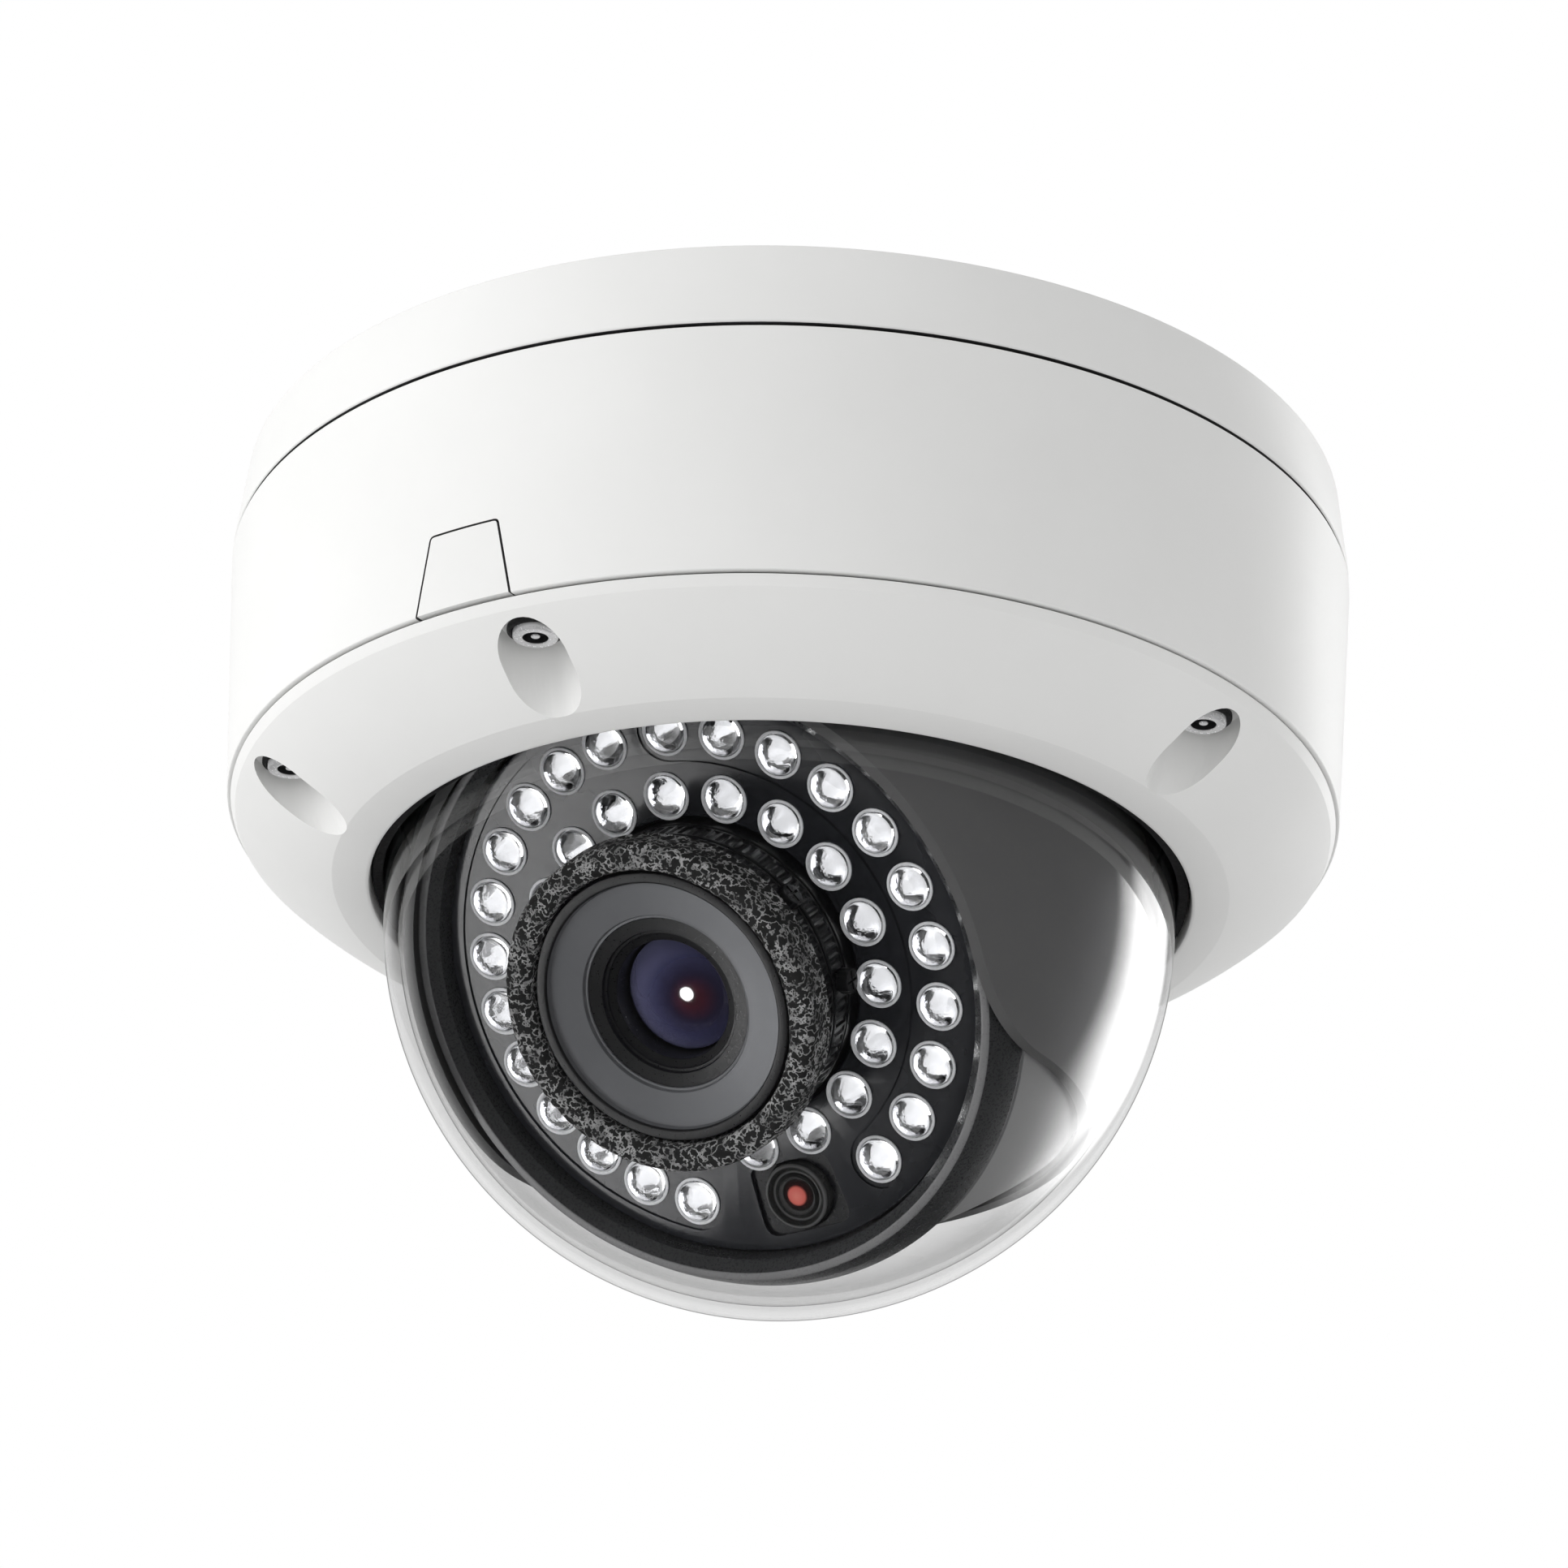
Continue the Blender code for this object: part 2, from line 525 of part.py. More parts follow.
def make_cover(paint, seal_rubber, steel):
    top = HOUSING_BOTTOM - GAP
    face = bulged((CHAMFER_RADIUS, CHAMFER_Z), (LIP_OUTER_RADIUS, LIP_OUTER_Z), FACE_BULGE, 3)
    groove_in, groove_out = SEAL_RADIUS - GROOVE_HALF_WIDTH, SEAL_RADIUS + GROOVE_HALF_WIDTH
    outline = [(SHELF_RADIUS, top), (groove_in, top), (groove_in, top - GROOVE_DEPTH)]
    outline += [(groove_out, top - GROOVE_DEPTH), (groove_out, top), (LOWER_RADIUS - EDGE, top)]
    outline += face + [(LIP_INNER_RADIUS + EDGE, LIP_Z), (LIP_INNER_RADIUS, LIP_Z + EDGE)]
    outline += [(LIP_INNER_RADIUS, SHELF_Z), (SHELF_RADIUS, SHELF_Z)]
    cover = turned("dome_cover", outline, BODY_SEGMENTS, paint)
    for i, azimuth in enumerate(SCREW_AZIMUTHS):
        boolean(cover, make_pocket(f"screw_pocket_{i + 1}", azimuth))
    holes = bmesh.new()
    for azimuth in SCREW_AZIMUTHS:
        spot = at_azimuth(SCREW_CIRCLE, azimuth)
        rod(holes, CLEARANCE_HOLE, SCREW_SEAT_Z - OVERCUT, top + OVERCUT, 10, spot)
    for angle in CLAMP_ANGLES:
        rod(holes, TAPPED_HOLE, SHELF_Z - 2.6 * MM, SHELF_Z + OVERCUT, 8, on_circle(CLAMP_CIRCLE, angle))
    boolean(cover, make_object("cover_holes", holes))
    for i, azimuth in enumerate(SCREW_AZIMUTHS):
        fixing = screw(f"cover_screw_{i + 1}", 2.75 * MM, 1.6 * MM, 1.4 * MM, 8.0 * MM, steel, sides=12)
        fixing.location = (*at_azimuth(SCREW_CIRCLE, azimuth), SCREW_SEAT_Z - GAP)
        fixing.rotation_euler = (math.pi, 0.0, 0.0)

    seal_in, seal_out = SEAL_RADIUS - SEAL_HALF_WIDTH, SEAL_RADIUS + SEAL_HALF_WIDTH
    ring = [(seal_in, top), (seal_out, top), (seal_out, top - SEAL_HEIGHT), (seal_in, top - SEAL_HEIGHT)]
    turned("cover_seal", ring, 36, seal_rubber)


def make_pocket(name, azimuth):
    """A screw pocket: round at its seat, with an inner wall that slopes out towards the lip."""
    bm = bmesh.new()
    low = LIP_Z - 6 * MM
    foot = SCREW_CIRCLE - POCKET_SLOPE
    spots = ((SCREW_CIRCLE, SCREW_SEAT_Z), (SCREW_CIRCLE, low), (foot, LIP_OUTER_Z), (foot, low))
    for radius, z in spots:
        centre = at_azimuth(radius, azimuth)
        for i in range(POCKET_SIDES):
            rim = on_circle(POCKET_RADIUS, azimuth + 360 * i / POCKET_SIDES)
            bm.verts.new((centre.x + rim.x, centre.y + rim.y, z))
    hull = bmesh.ops.convex_hull(bm, input=bm.verts[:])
    inside = [v for v in set(hull["geom_interior"]) if isinstance(v, bmesh.types.BMVert)]
    bmesh.ops.delete(bm, geom=inside, context="VERTS")
    return make_object(name, bm)


def make_bubble(clear, seal_rubber, plastic, steel):
    inner_radius = BUBBLE_RADIUS - BUBBLE_WALL
    flange_top = FLANGE_BOTTOM + FLANGE_THICKNESS
    outer = arc_points(BUBBLE_RADIUS, -math.pi / 2, 0.0, 7, (0.0, PIVOT_Z))
    inner = arc_points(inner_radius, 0.0, -math.pi / 2, 7, (0.0, PIVOT_Z))
    outline = outer + [(BUBBLE_RADIUS, FLANGE_BOTTOM), (FLANGE_RADIUS, FLANGE_BOTTOM)]
    outline += [(FLANGE_RADIUS, flange_top), (inner_radius, flange_top)] + inner
    bubble = turned("dome_bubble", outline, 36, clear)

    top = SHELF_Z + GAP + 1.0 * MM
    seat = SHELF_Z + GAP
    skirt = [(GASKET_INNER, top), (FLANGE_RADIUS, top), (FLANGE_RADIUS, seat), (GASKET_OUTER, seat)]
    skirt += [(GASKET_OUTER, GASKET_BOTTOM), (GASKET_INNER, GASKET_BOTTOM)]
    gasket = turned("bubble_gasket", skirt, 36, seal_rubber)

    low = flange_top + GAP
    high = low + CLAMP_THICKNESS
    ring = [(CLAMP_INNER, low), (FLANGE_RADIUS, low), (FLANGE_RADIUS, high), (CLAMP_INNER, high)]
    clamp = turned("bubble_clamp_ring", ring, 32, plastic)
    holes = bmesh.new()
    for angle in CLAMP_ANGLES:
        rod(holes, TAPPED_HOLE, SHELF_Z - OVERCUT, high + OVERCUT, 8, on_circle(CLAMP_CIRCLE, angle))
    drill = make_object("clamp_holes", holes)
    for piece in (bubble, gasket, clamp):
        boolean(piece, drill)
    for i, angle in enumerate(CLAMP_ANGLES):
        fixing = screw(f"clamp_screw_{i + 1}", 2.0 * MM, 1.3 * MM, 1.1 * MM, 7.6 * MM, steel)
        fixing.location = (*on_circle(CLAMP_CIRCLE, angle), high + GAP)


# ---------------------------------------------------------------- pan body


def shroud_front_outline():
    """The side view of what is cut away in front of the shroud: x back to front, y up."""
    direction = Vector((math.sin(TILT_AT_REST), math.cos(TILT_AT_REST)))
    foot = Vector((SHROUD_FRONT / math.cos(TILT_AT_REST), 0.0))
    corner = foot + direction * (SHROUD_BOTTOM / direction.y)
    tangent = SHROUD_CORNER * math.tan((math.pi / 2 - TILT_AT_REST) / 2)
    centre = (corner.x - tangent, SHROUD_BOTTOM + SHROUD_CORNER)
    points = arc_points(SHROUD_CORNER, -math.pi / 2, -TILT_AT_REST, 6, centre)
    top = foot + direction * (2 * SHROUD_TOP / direction.y)
    far = 1.5 * SHROUD_RADIUS
    return points + [tuple(top), (far, top.y), (far, -far), (points[0][0], -far)]


def make_pan_parts(pan, turntable_plastic, steel_sheet, dark_plastic, steel):
    """The parts on the pan axis; pan is an empty at the dome's centre, facing along its -Y."""
    low = TURNTABLE_BOTTOM - PIVOT_Z
    high = TURNTABLE_TOP - PIVOT_Z
    bore = HUB_RADIUS + GAP
    disc = [(bore, low), (TURNTABLE_RADIUS, low), (TURNTABLE_RADIUS, high), (bore, high)]
    turned("turntable", disc, 32, turntable_plastic, pan)

    top = low - GAP
    outer = YOKE_INNER + YOKE_SHEET
    legs = -YOKE_HALF_WIDTH
    outline = [(-outer, top), (-outer, legs), (-YOKE_INNER, legs), (-YOKE_INNER, top - YOKE_SHEET)]
    outline += [(YOKE_INNER, top - YOKE_SHEET), (YOKE_INNER, legs), (outer, legs), (outer, top)]
    bm = bmesh.new()
    extrude_outline(bm, outline, -YOKE_HALF_WIDTH, YOKE_HALF_WIDTH)
    drill = bmesh.new()
    rod(drill, bore, top - YOKE_SHEET - OVERCUT, top + OVERCUT, 20)
    for side in (-1, 1):
        rod(drill, TAPPED_HOLE, top - YOKE_SHEET - OVERCUT, top + OVERCUT, 8, (side * YOKE_SCREW_X, 0.0))
    bmesh.ops.transform(bm, matrix=Matrix.Rotation(math.pi / 2, 4, "X"), verts=bm.verts)
    yoke = make_object("yoke_bracket", bm, steel_sheet, pan)
    collar = bmesh.new()
    rod(collar, YOKE_HUB_RADIUS, top - YOKE_SHEET, top, 32)
    boolean(yoke, make_object("yoke_collar", collar, parent=pan), "UNION")
    boolean(yoke, make_object("yoke_bore", drill, parent=pan))
    pins = bmesh.new()
    rod(pins, PIVOT_HOLE, -outer - OVERCUT, outer + OVERCUT, 12)
    bmesh.ops.transform(pins, matrix=Matrix.Rotation(math.pi / 2, 4, "Y"), verts=pins.verts)
    boolean(yoke, make_object("yoke_pivots", pins, parent=pan))
    for name, side in (("yoke_screw_1", -1), ("yoke_screw_2", 1)):
        fixing = screw(name, 2.4 * MM, 1.4 * MM, 1.2 * MM, 1.8 * MM, steel, pan)
        fixing.location = (side * YOKE_SCREW_X, 0.0, top - YOKE_SHEET - GAP)
        fixing.rotation_euler = (math.pi, 0.0, 0.0)
    for name, side in (("tilt_screw_left", -1), ("tilt_screw_right", 1)):
        fixing = screw(name, 4.0 * MM, 1.1 * MM, PIVOT_HOLE - GAP, 5.6 * MM, steel, pan, sides=12)
        fixing.location = (side * (outer + GAP), 0.0, 0.0)
        fixing.rotation_euler = (0.0, side * math.pi / 2, 0.0)

    inner = SHROUD_RADIUS - SHROUD_WALL
    shell = sphere_run(SHROUD_RADIUS, SHROUD_BOTTOM, SHROUD_TOP, 4)
    shell += sphere_run(inner, SHROUD_TOP, SHROUD_BOTTOM, 4)
    shroud = turned("side_shroud", shell, 36, dark_plastic, pan)
    front = bmesh.new()
    extrude_outline(front, shroud_front_outline(), -60 * MM, 60 * MM)
    stand = Matrix(((0, 0, 1, 0), (-1, 0, 0, 0), (0, 1, 0, 0), (0, 0, 0, 1)))
    bmesh.ops.transform(front, matrix=stand, verts=front.verts)
    boolean(shroud, make_object("shroud_opening", front, parent=pan))


# ---------------------------------------------------------------- tilt body


def ball_solid(inset, back, front, top, steps):
    """A ball about the origin, its axis along Z, cut flat at its sides, bottom and top."""
    bm = bmesh.new()
    run = sphere_run(BALL_RADIUS - inset, back, front, steps)
    revolve(bm, [(0.0, back)] + run + [(0.0, front)], 36)
    for side in (-1, 1):
        clip(bm, (side * (BALL_SIDE - inset), 0, 0), (side, 0, 0))
    clip(bm, (0, BALL_BOTTOM + inset, 0), (0, -1, 0))
    clip(bm, (0, top, 0), (0, 1, 0))
    return bm


def make_ball_parts(optical, ball_paint, bezel_plastic):
    """The parts on the tilt axis; optical is an empty with +Z along the lens and +X along the tilt axis."""
    solid = ball_solid(0.0, BALL_BACK, BALL_FRONT, BALL_TOP, 6)
    shell = make_object("eyeball_shell", solid, ball_paint, optical)
    beyond = 8 * OVERCUT
    inner = ball_solid(BALL_WALL, BALL_BACK - beyond, BALL_FRONT + beyond, BALL_TOP + beyond, 7)
    boolean(shell, make_object("ball_hollow", inner, parent=optical))
    pins = bmesh.new()
    rod(pins, PIVOT_HOLE, -BALL_RADIUS, BALL_RADIUS, 12)
    bmesh.ops.transform(pins, matrix=Matrix.Rotation(math.pi / 2, 4, "Y"), verts=pins.verts)
    boolean(shell, make_object("ball_pivots", pins, parent=optical))

    low = BALL_FRONT + GAP
    foot = math.sqrt(BALL_RADIUS**2 - low**2)
    waist = math.sqrt(BALL_RADIUS**2 - (low + BEZEL_BAND)**2)
    bore = PANEL_RADIUS + GAP
    outline = [(bore, low), (foot, low), (waist, low + BEZEL_BAND), (BEZEL_FRONT_RADIUS, BEZEL_FRONT)]
    outline += [(BEZEL_FRONT_RADIUS - BEZEL_RIM, BEZEL_FRONT), (bore, BEZEL_FRONT - BEZEL_SLOPE)]
    turned("eyeball_bezel", outline, 40, bezel_plastic, optical)


# ---------------------------------------------------------------- lens module


def led_spots():
    """Every infrared LED's (x, y) on the board, outer ring first."""
    spots = []
    for start, pitch, count in OUTER_ARCS:
        spots += [on_circle(OUTER_RING, start + pitch * i) for i in range(count)]
    spots += [on_circle(INNER_RING, INNER_PHASE + 360 / INNER_COUNT * i) for i in range(INNER_COUNT)]
    return spots


def make_light_panel(optical, gloss_black, led_white, sensor_black):
    back = PANEL_FRONT - PANEL_THICKNESS
    face = [(PANEL_BORE, back), (PANEL_RADIUS, back), (PANEL_RADIUS, PANEL_FRONT), (PANEL_BORE, PANEL_FRONT)]
    panel = turned("ir_panel", face, 36, gloss_black, optical)
    sensor_spot = on_circle(SENSOR_RING, SENSOR_ANGLE)
    led_foot = LED_BOARD_FRONT - 0.8 * MM
    holes = bmesh.new()
    leds = bmesh.new()
    for spot in led_spots():
        rod(holes, LED_HOLE_RADIUS, back - OVERCUT, PANEL_FRONT + OVERCUT, 6, spot)
        dome = [(0.0, led_foot), (LED_RADIUS, led_foot)]
        dome += [(LED_RADIUS, LED_TOP - 2.2 * MM), (LED_RADIUS * 0.7, LED_TOP - 0.7 * MM), (0.0, LED_TOP)]
        revolve(leds, dome, 6, spot)
    rod(holes, SENSOR_RADIUS + GAP, back - OVERCUT, PANEL_FRONT + OVERCUT, 20, sensor_spot)
    boolean(panel, make_object("panel_holes", holes, parent=optical))

    low = LED_BOARD_FRONT - BOARD_THICKNESS
    disc = [(PANEL_BORE, low), (LED_BOARD_RADIUS, low), (LED_BOARD_RADIUS, LED_BOARD_FRONT)]
    disc += [(PANEL_BORE, LED_BOARD_FRONT)]
    board = turned("ir_led_board", disc, 32, led_white, optical)
    boolean(board, make_object("led_bodies", leds, parent=optical), "UNION")

    foot = LED_BOARD_FRONT + GAP
    crown = PANEL_FRONT + 0.8 * MM
    eye = [(0.0, foot), (SENSOR_RADIUS, foot), (SENSOR_RADIUS, crown), (3.4 * MM, crown + 0.2 * MM)]
    eye += [(3.1 * MM, crown - 0.5 * MM), (2.2 * MM, crown - 0.5 * MM), (1.1 * MM, crown - 0.1 * MM)]
    eye += [(0.0, crown + 0.1 * MM)]
    turned("light_sensor", eye, 20, sensor_black, optical, sensor_spot)


def make_module_frame(optical, dark_plastic, board, chip, plastic, glass):
    disc_back, disc_front = FRAME_DISC
    outline = [(FRAME_BORE, FRAME_BACK), (FRAME_TUBE_RADIUS, FRAME_BACK), (FRAME_TUBE_RADIUS, disc_back)]
    outline += [(LED_BOARD_RADIUS, disc_back), (LED_BOARD_RADIUS, disc_front), (FRAME_BORE, disc_front)]
    frame = turned("module_frame", outline, 32, dark_plastic, optical)
    posts = bmesh.new()
    for x in (-MODULE_POST, MODULE_POST):
        for y in (-MODULE_POST, MODULE_POST):
            rod(posts, 2 * MM, SENSOR_BOARD_FRONT + GAP, disc_back + OVERCUT, 8, (x, y))
    boolean(frame, make_object("frame_posts", posts, parent=optical), "UNION")

    bm = bmesh.new()
    half = SENSOR_BOARD_HALF
    box(bm, (-half, -half, SENSOR_BOARD_FRONT - BOARD_THICKNESS), (half, half, SENSOR_BOARD_FRONT))
    make_object("sensor_board", bm, board, optical)
    bm = bmesh.new()
    chip_back = SENSOR_BOARD_FRONT + GAP
    box(bm, (-6 * MM, -5 * MM, chip_back), (6 * MM, 5 * MM, chip_back + 1.5 * MM))
    make_object("image_sensor", bm, chip, optical)
    bm = bmesh.new()
    box(bm, (-17 * MM, -10 * MM, -9.6 * MM), (17 * MM, 10 * MM, -6.8 * MM))
    window = bmesh.new()
    rod(window, 5 * MM, -11 * MM, -5 * MM, 16)
    switch = make_object("ir_cut_switch", bm, plastic, optical)
    boolean(switch, make_object("switch_window", window, parent=optical))
    bm = bmesh.new()
    box(bm, (-7 * MM, -5.5 * MM, -6.4 * MM), (13.4 * MM, 5.5 * MM, -5.5 * MM))
    make_object("ir_cut_filter", bm, glass, optical)


def make_lens(optical, barrel_black, ring_black, nose_grey, foam, glass, steel):
    ring_bottom, ring_top = ZOOM_RING_Z[0], FOCUS_RING_Z[1]
    core = RING_BORE - GAP
    collar = ring_bottom - GAP
    outline = [(BARREL_BORE, BARREL_BACK), (BARREL_RADIUS, BARREL_BACK), (BARREL_RADIUS, COLLAR_BACK)]
    outline += [(RING_RADIUS, COLLAR_BACK), (RING_RADIUS, collar), (core, collar), (core, ring_top)]
    outline += [(BARREL_BORE, ring_top)]
    turned("lens_barrel", outline, 24, barrel_black, optical)
    make_ring(optical, "zoom", ZOOM_RING_Z, ZOOM_SCREW_ANGLE, ring_black, steel)
    make_ring(optical, "focus", FOCUS_RING_Z, FOCUS_SCREW_ANGLE, ring_black, steel)

    seat = ring_top + 0.5 * MM
    nose = [(7.5 * MM, 24.6 * MM), (12.1 * MM, 24.6 * MM), (12.1 * MM, seat), (16.9 * MM, seat)]
    nose += [(16.9 * MM, 32.2 * MM), (15.6 * MM, 32.2 * MM), (15.4 * MM, 31.4 * MM), (11.1 * MM, 31.0 * MM)]
    nose += [(10.9 * MM, 30.4 * MM), (8.9 * MM, 30.2 * MM), (8.65 * MM, 29.4 * MM), (7.5 * MM, 29.0 * MM)]
    turned("lens_nose", nose, 24, nose_grey, optical)
    ring = [(FOAM_BORE, seat), (FOAM_RADIUS, seat), (FOAM_RADIUS, FOAM_FRONT - EDGE)]
    ring += [(FOAM_RADIUS - EDGE, FOAM_FRONT), (FOAM_BORE, FOAM_FRONT)]
    turned("foam_ring", ring, 24, foam, optical)
    element = [(0.0, 24.8 * MM), (7.2 * MM, 24.8 * MM), (7.2 * MM, 27.4 * MM), (5.2 * MM, 28.3 * MM)]
    element += [(2.8 * MM, 28.85 * MM), (0.0, 29.05 * MM)]
    turned("front_lens", element, 24, glass, optical)
    for name, low in (("zoom_lens_group", 2.0 * MM), ("focus_lens_group", 14.0 * MM)):
        cell = [(0.0, low - 0.8 * MM), (6 * MM, low), (12 * MM, low), (12 * MM, low + 4.6 * MM)]
        cell += [(6 * MM, low + 4.6 * MM), (0.0, low + 5.4 * MM)]
        turned(name, cell, 20, glass, optical)


def make_ring(optical, name, span, angle, material, steel):
    """One turning lens ring and the small thumb screw that locks it."""
    low, high = span
    outline = [(RING_BORE, low), (RING_RADIUS, low), (RING_RADIUS, high), (RING_BORE, high)]
    ring = turned(f"{name}_ring", outline, 24, material, optical)
    middle = (low + high) / 2
    outward = Matrix.Rotation(math.radians(angle), 4, "Z") @ Matrix.Rotation(math.pi / 2, 4, "Y")
    drill = bmesh.new()
    rod(drill, 1.2 * MM, RING_BORE - 2 * MM, RING_RADIUS + 2 * MM, 8)
    place = Matrix.Translation((0, 0, middle)) @ outward
    bmesh.ops.transform(drill, matrix=place, verts=drill.verts)
    boolean(ring, make_object(f"{name}_ring_hole", drill, parent=optical))
    lock = screw(f"{name}_lock_screw", 1.6 * MM, 1.4 * MM, 0.9 * MM, 2.2 * MM, steel, optical)
    lock.matrix_local = place @ Matrix.Translation((0, 0, RING_RADIUS + GAP))


# ---------------------------------------------------------------- the whole camera


def main():
    clear_scene()
    paint = make_material("white_paint", (0.82, 0.82, 0.80), 0.35)
    trim_paint = make_material("white_trim", (0.80, 0.80, 0.78), 0.4)
    rubber = make_material("black_rubber", (0.02, 0.02, 0.02), 0.8)
    seal_rubber = make_material("seal_rubber", (0.03, 0.03, 0.03), 0.7)
    clear = make_material("clear_dome", (0.9, 0.93, 0.95), 0.03)
    dark_plastic = make_material("dark_grey_plastic", (0.12, 0.12, 0.12), 0.45)
    ball_paint = make_material("ball_grey_plastic", (0.16, 0.16, 0.16), 0.4)
    gloss_black = make_material("gloss_black_panel", (0.02, 0.022, 0.025), 0.15)
    barrel_black = make_material("lens_black", (0.012, 0.012, 0.012), 0.35)
    nose_grey = make_material("lens_nose_grey", (0.1, 0.105, 0.115), 0.35)
    foam = make_material("grey_foam", (0.15, 0.15, 0.15), 0.95)
    glass = make_material("lens_glass", (0.05, 0.05, 0.12), 0.05)
    steel = make_material("screw_steel", (0.7, 0.7, 0.7), 0.25, 1.0)
    steel_sheet = make_material("sheet_steel", (0.55, 0.55, 0.56), 0.4, 1.0)
    board = make_material("circuit_board", (0.02, 0.2, 0.08), 0.5)
    led_white = make_material("led_board", (0.7, 0.72, 0.72), 0.3)
    plastic = make_material("ivory_plastic", (0.7, 0.68, 0.6), 0.5)
    tin = make_material("tinned_metal", (0.75, 0.75, 0.75), 0.3, 1.0)
    chip = make_material("chip_black", (0.03, 0.03, 0.03), 0.4)
    button_plastic = make_material("button_black", (0.05, 0.05, 0.05), 0.5)

    make_mounting_base(paint, rubber)
    make_main_board(board, plastic, tin, button_plastic, steel)
    make_chassis(steel_sheet, steel, dark_plastic)
    make_housing(paint, trim_paint)
    make_cover(paint, seal_rubber, steel)
    make_bubble(clear, seal_rubber, dark_plastic, steel)

    pan = make_empty("pan_axis", (0.0, 0.0, PIVOT_Z), (0.0, 0.0, PAN_AT_REST))
    tilt = make_empty("tilt_axis", (0.0, 0.0, 0.0), (TILT_AT_REST, 0.0, 0.0), pan)
    optical = make_empty("optical_axis", (0.0, 0.0, 0.0), (math.pi / 2, 0.0, 0.0), tilt)
    make_pan_parts(pan, dark_plastic, steel_sheet, dark_plastic, steel)
    make_ball_parts(optical, ball_paint, dark_plastic)
    make_light_panel(optical, gloss_black, led_white, gloss_black)
    make_module_frame(optical, dark_plastic, board, chip, plastic, glass)
    make_lens(optical, barrel_black, barrel_black, nose_grey, foam, glass, steel)


main()
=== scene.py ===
"""Looks of the dome camera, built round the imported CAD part.

Lengths in the outlines are millimetres. The ceiling face is z = 0 and the camera hangs along -Z.
"""

import math

import bmesh
import bpy
from mathutils import Matrix, Vector, noise


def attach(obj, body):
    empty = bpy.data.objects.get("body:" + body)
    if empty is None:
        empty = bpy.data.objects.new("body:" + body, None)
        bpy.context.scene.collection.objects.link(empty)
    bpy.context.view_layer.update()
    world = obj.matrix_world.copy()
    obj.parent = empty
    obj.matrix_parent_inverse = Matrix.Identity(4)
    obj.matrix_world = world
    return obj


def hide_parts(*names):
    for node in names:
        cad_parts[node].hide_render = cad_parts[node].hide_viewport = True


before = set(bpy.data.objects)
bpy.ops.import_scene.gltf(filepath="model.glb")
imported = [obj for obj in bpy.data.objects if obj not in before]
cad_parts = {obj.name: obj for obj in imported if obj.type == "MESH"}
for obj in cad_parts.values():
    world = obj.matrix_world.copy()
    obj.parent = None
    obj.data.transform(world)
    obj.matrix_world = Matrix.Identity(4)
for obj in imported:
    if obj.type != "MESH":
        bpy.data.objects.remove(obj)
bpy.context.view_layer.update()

MM = 0.001
ROUND = 192
ON_AXIS = 1e-6

PIVOT = Vector((0.0, 0.0, -57.4))
PAN_AT_REST = math.radians(-34.1)
TILT_AT_REST = math.radians(40.0)
SCREW_AZIMUTHS = (-74.5, -28.5, 53, 134, 180, 226)
SCREW_CIRCLE = 62.5
SCREW_SEAT = -44.6
POCKET_RADIUS = 4.4
TAB_AZIMUTH = -34.2
POST_CIRCLE, POST_ANGLES = 61.5, (63, 183, 303)
SLOT_CIRCLE, SLOT_ANGLES = 50, (0, 120, 240)
CABLE_HOLE_Y = 30
BASE_BOTTOM, HOUSING_TOP, HOUSING_BOTTOM, COVER_TOP = -11.1, -11.55, -43.3, -43.6
DOME_OUTER, DOME_INNER = 48.7, 46.9
BALL_RADIUS = 44.4
SHROUD_TOP, SHROUD_BOTTOM, SHROUD_FRONT, SHROUD_CORNER = 10, -25.7, 23.7, 20
PANEL_BACK, PANEL_FRONT = 17.1, 18.6
OUTER_RING, INNER_RING = 30.4, 22.5
OUTER_ARCS = ((-64.0, 14.45, 11), (97.0, 13.4, 12))
INNER_PHASE, INNER_COUNT = 4.0, 18
LED_HOLE_RADIUS = 2.9
SENSOR_AT = (29.4, -88.0)
CAMERA_AT = (0, -0.93939, -0.48658)
CAMERA_PITCH, CAMERA_ROLL = math.radians(25.517), math.radians(1.902)
FOCAL_LENGTH, SENSOR_WIDTH = 192.63, 36.0
CLEAR_IOR = 1.49
# Where the mirrored world is bright: a soft box behind on the right, and straight behind the part
SOFT_BOX = Vector((0.68, 0.73, 0.0)).normalized()
BEHIND = Vector((0.0, 0.9, 0.43)).normalized()

pan_matrix = Matrix.Translation(PIVOT * MM) @ Matrix.Rotation(PAN_AT_REST, 4, "Z")
lens_matrix = pan_matrix @ Matrix.Rotation(TILT_AT_REST, 4, "X") @ Matrix.Rotation(math.pi / 2, 4, "X")


# ---------------------------------------------------------------- shapes


def on_circle(radius, degrees):
    angle = math.radians(degrees)
    return Vector((radius * math.cos(angle), radius * math.sin(angle)))


def at_azimuth(radius, azimuth):
    """A point at an azimuth measured from -Y towards +X."""
    return on_circle(radius, azimuth - 90)


def arc(radius, start, end, steps, centre=(0.0, 0.0)):
    """Points of an arc from angle start to angle end, in degrees."""
    points = []
    for i in range(steps + 1):
        spot = on_circle(radius, start + (end - start) * i / steps)
        points.append((centre[0] + spot.x, centre[1] + spot.y))
    return points


def sphere_run(radius, z_start, z_end, steps):
    low, high = math.degrees(math.asin(z_start / radius)), math.degrees(math.asin(z_end / radius))
    return arc(radius, low, high, steps)


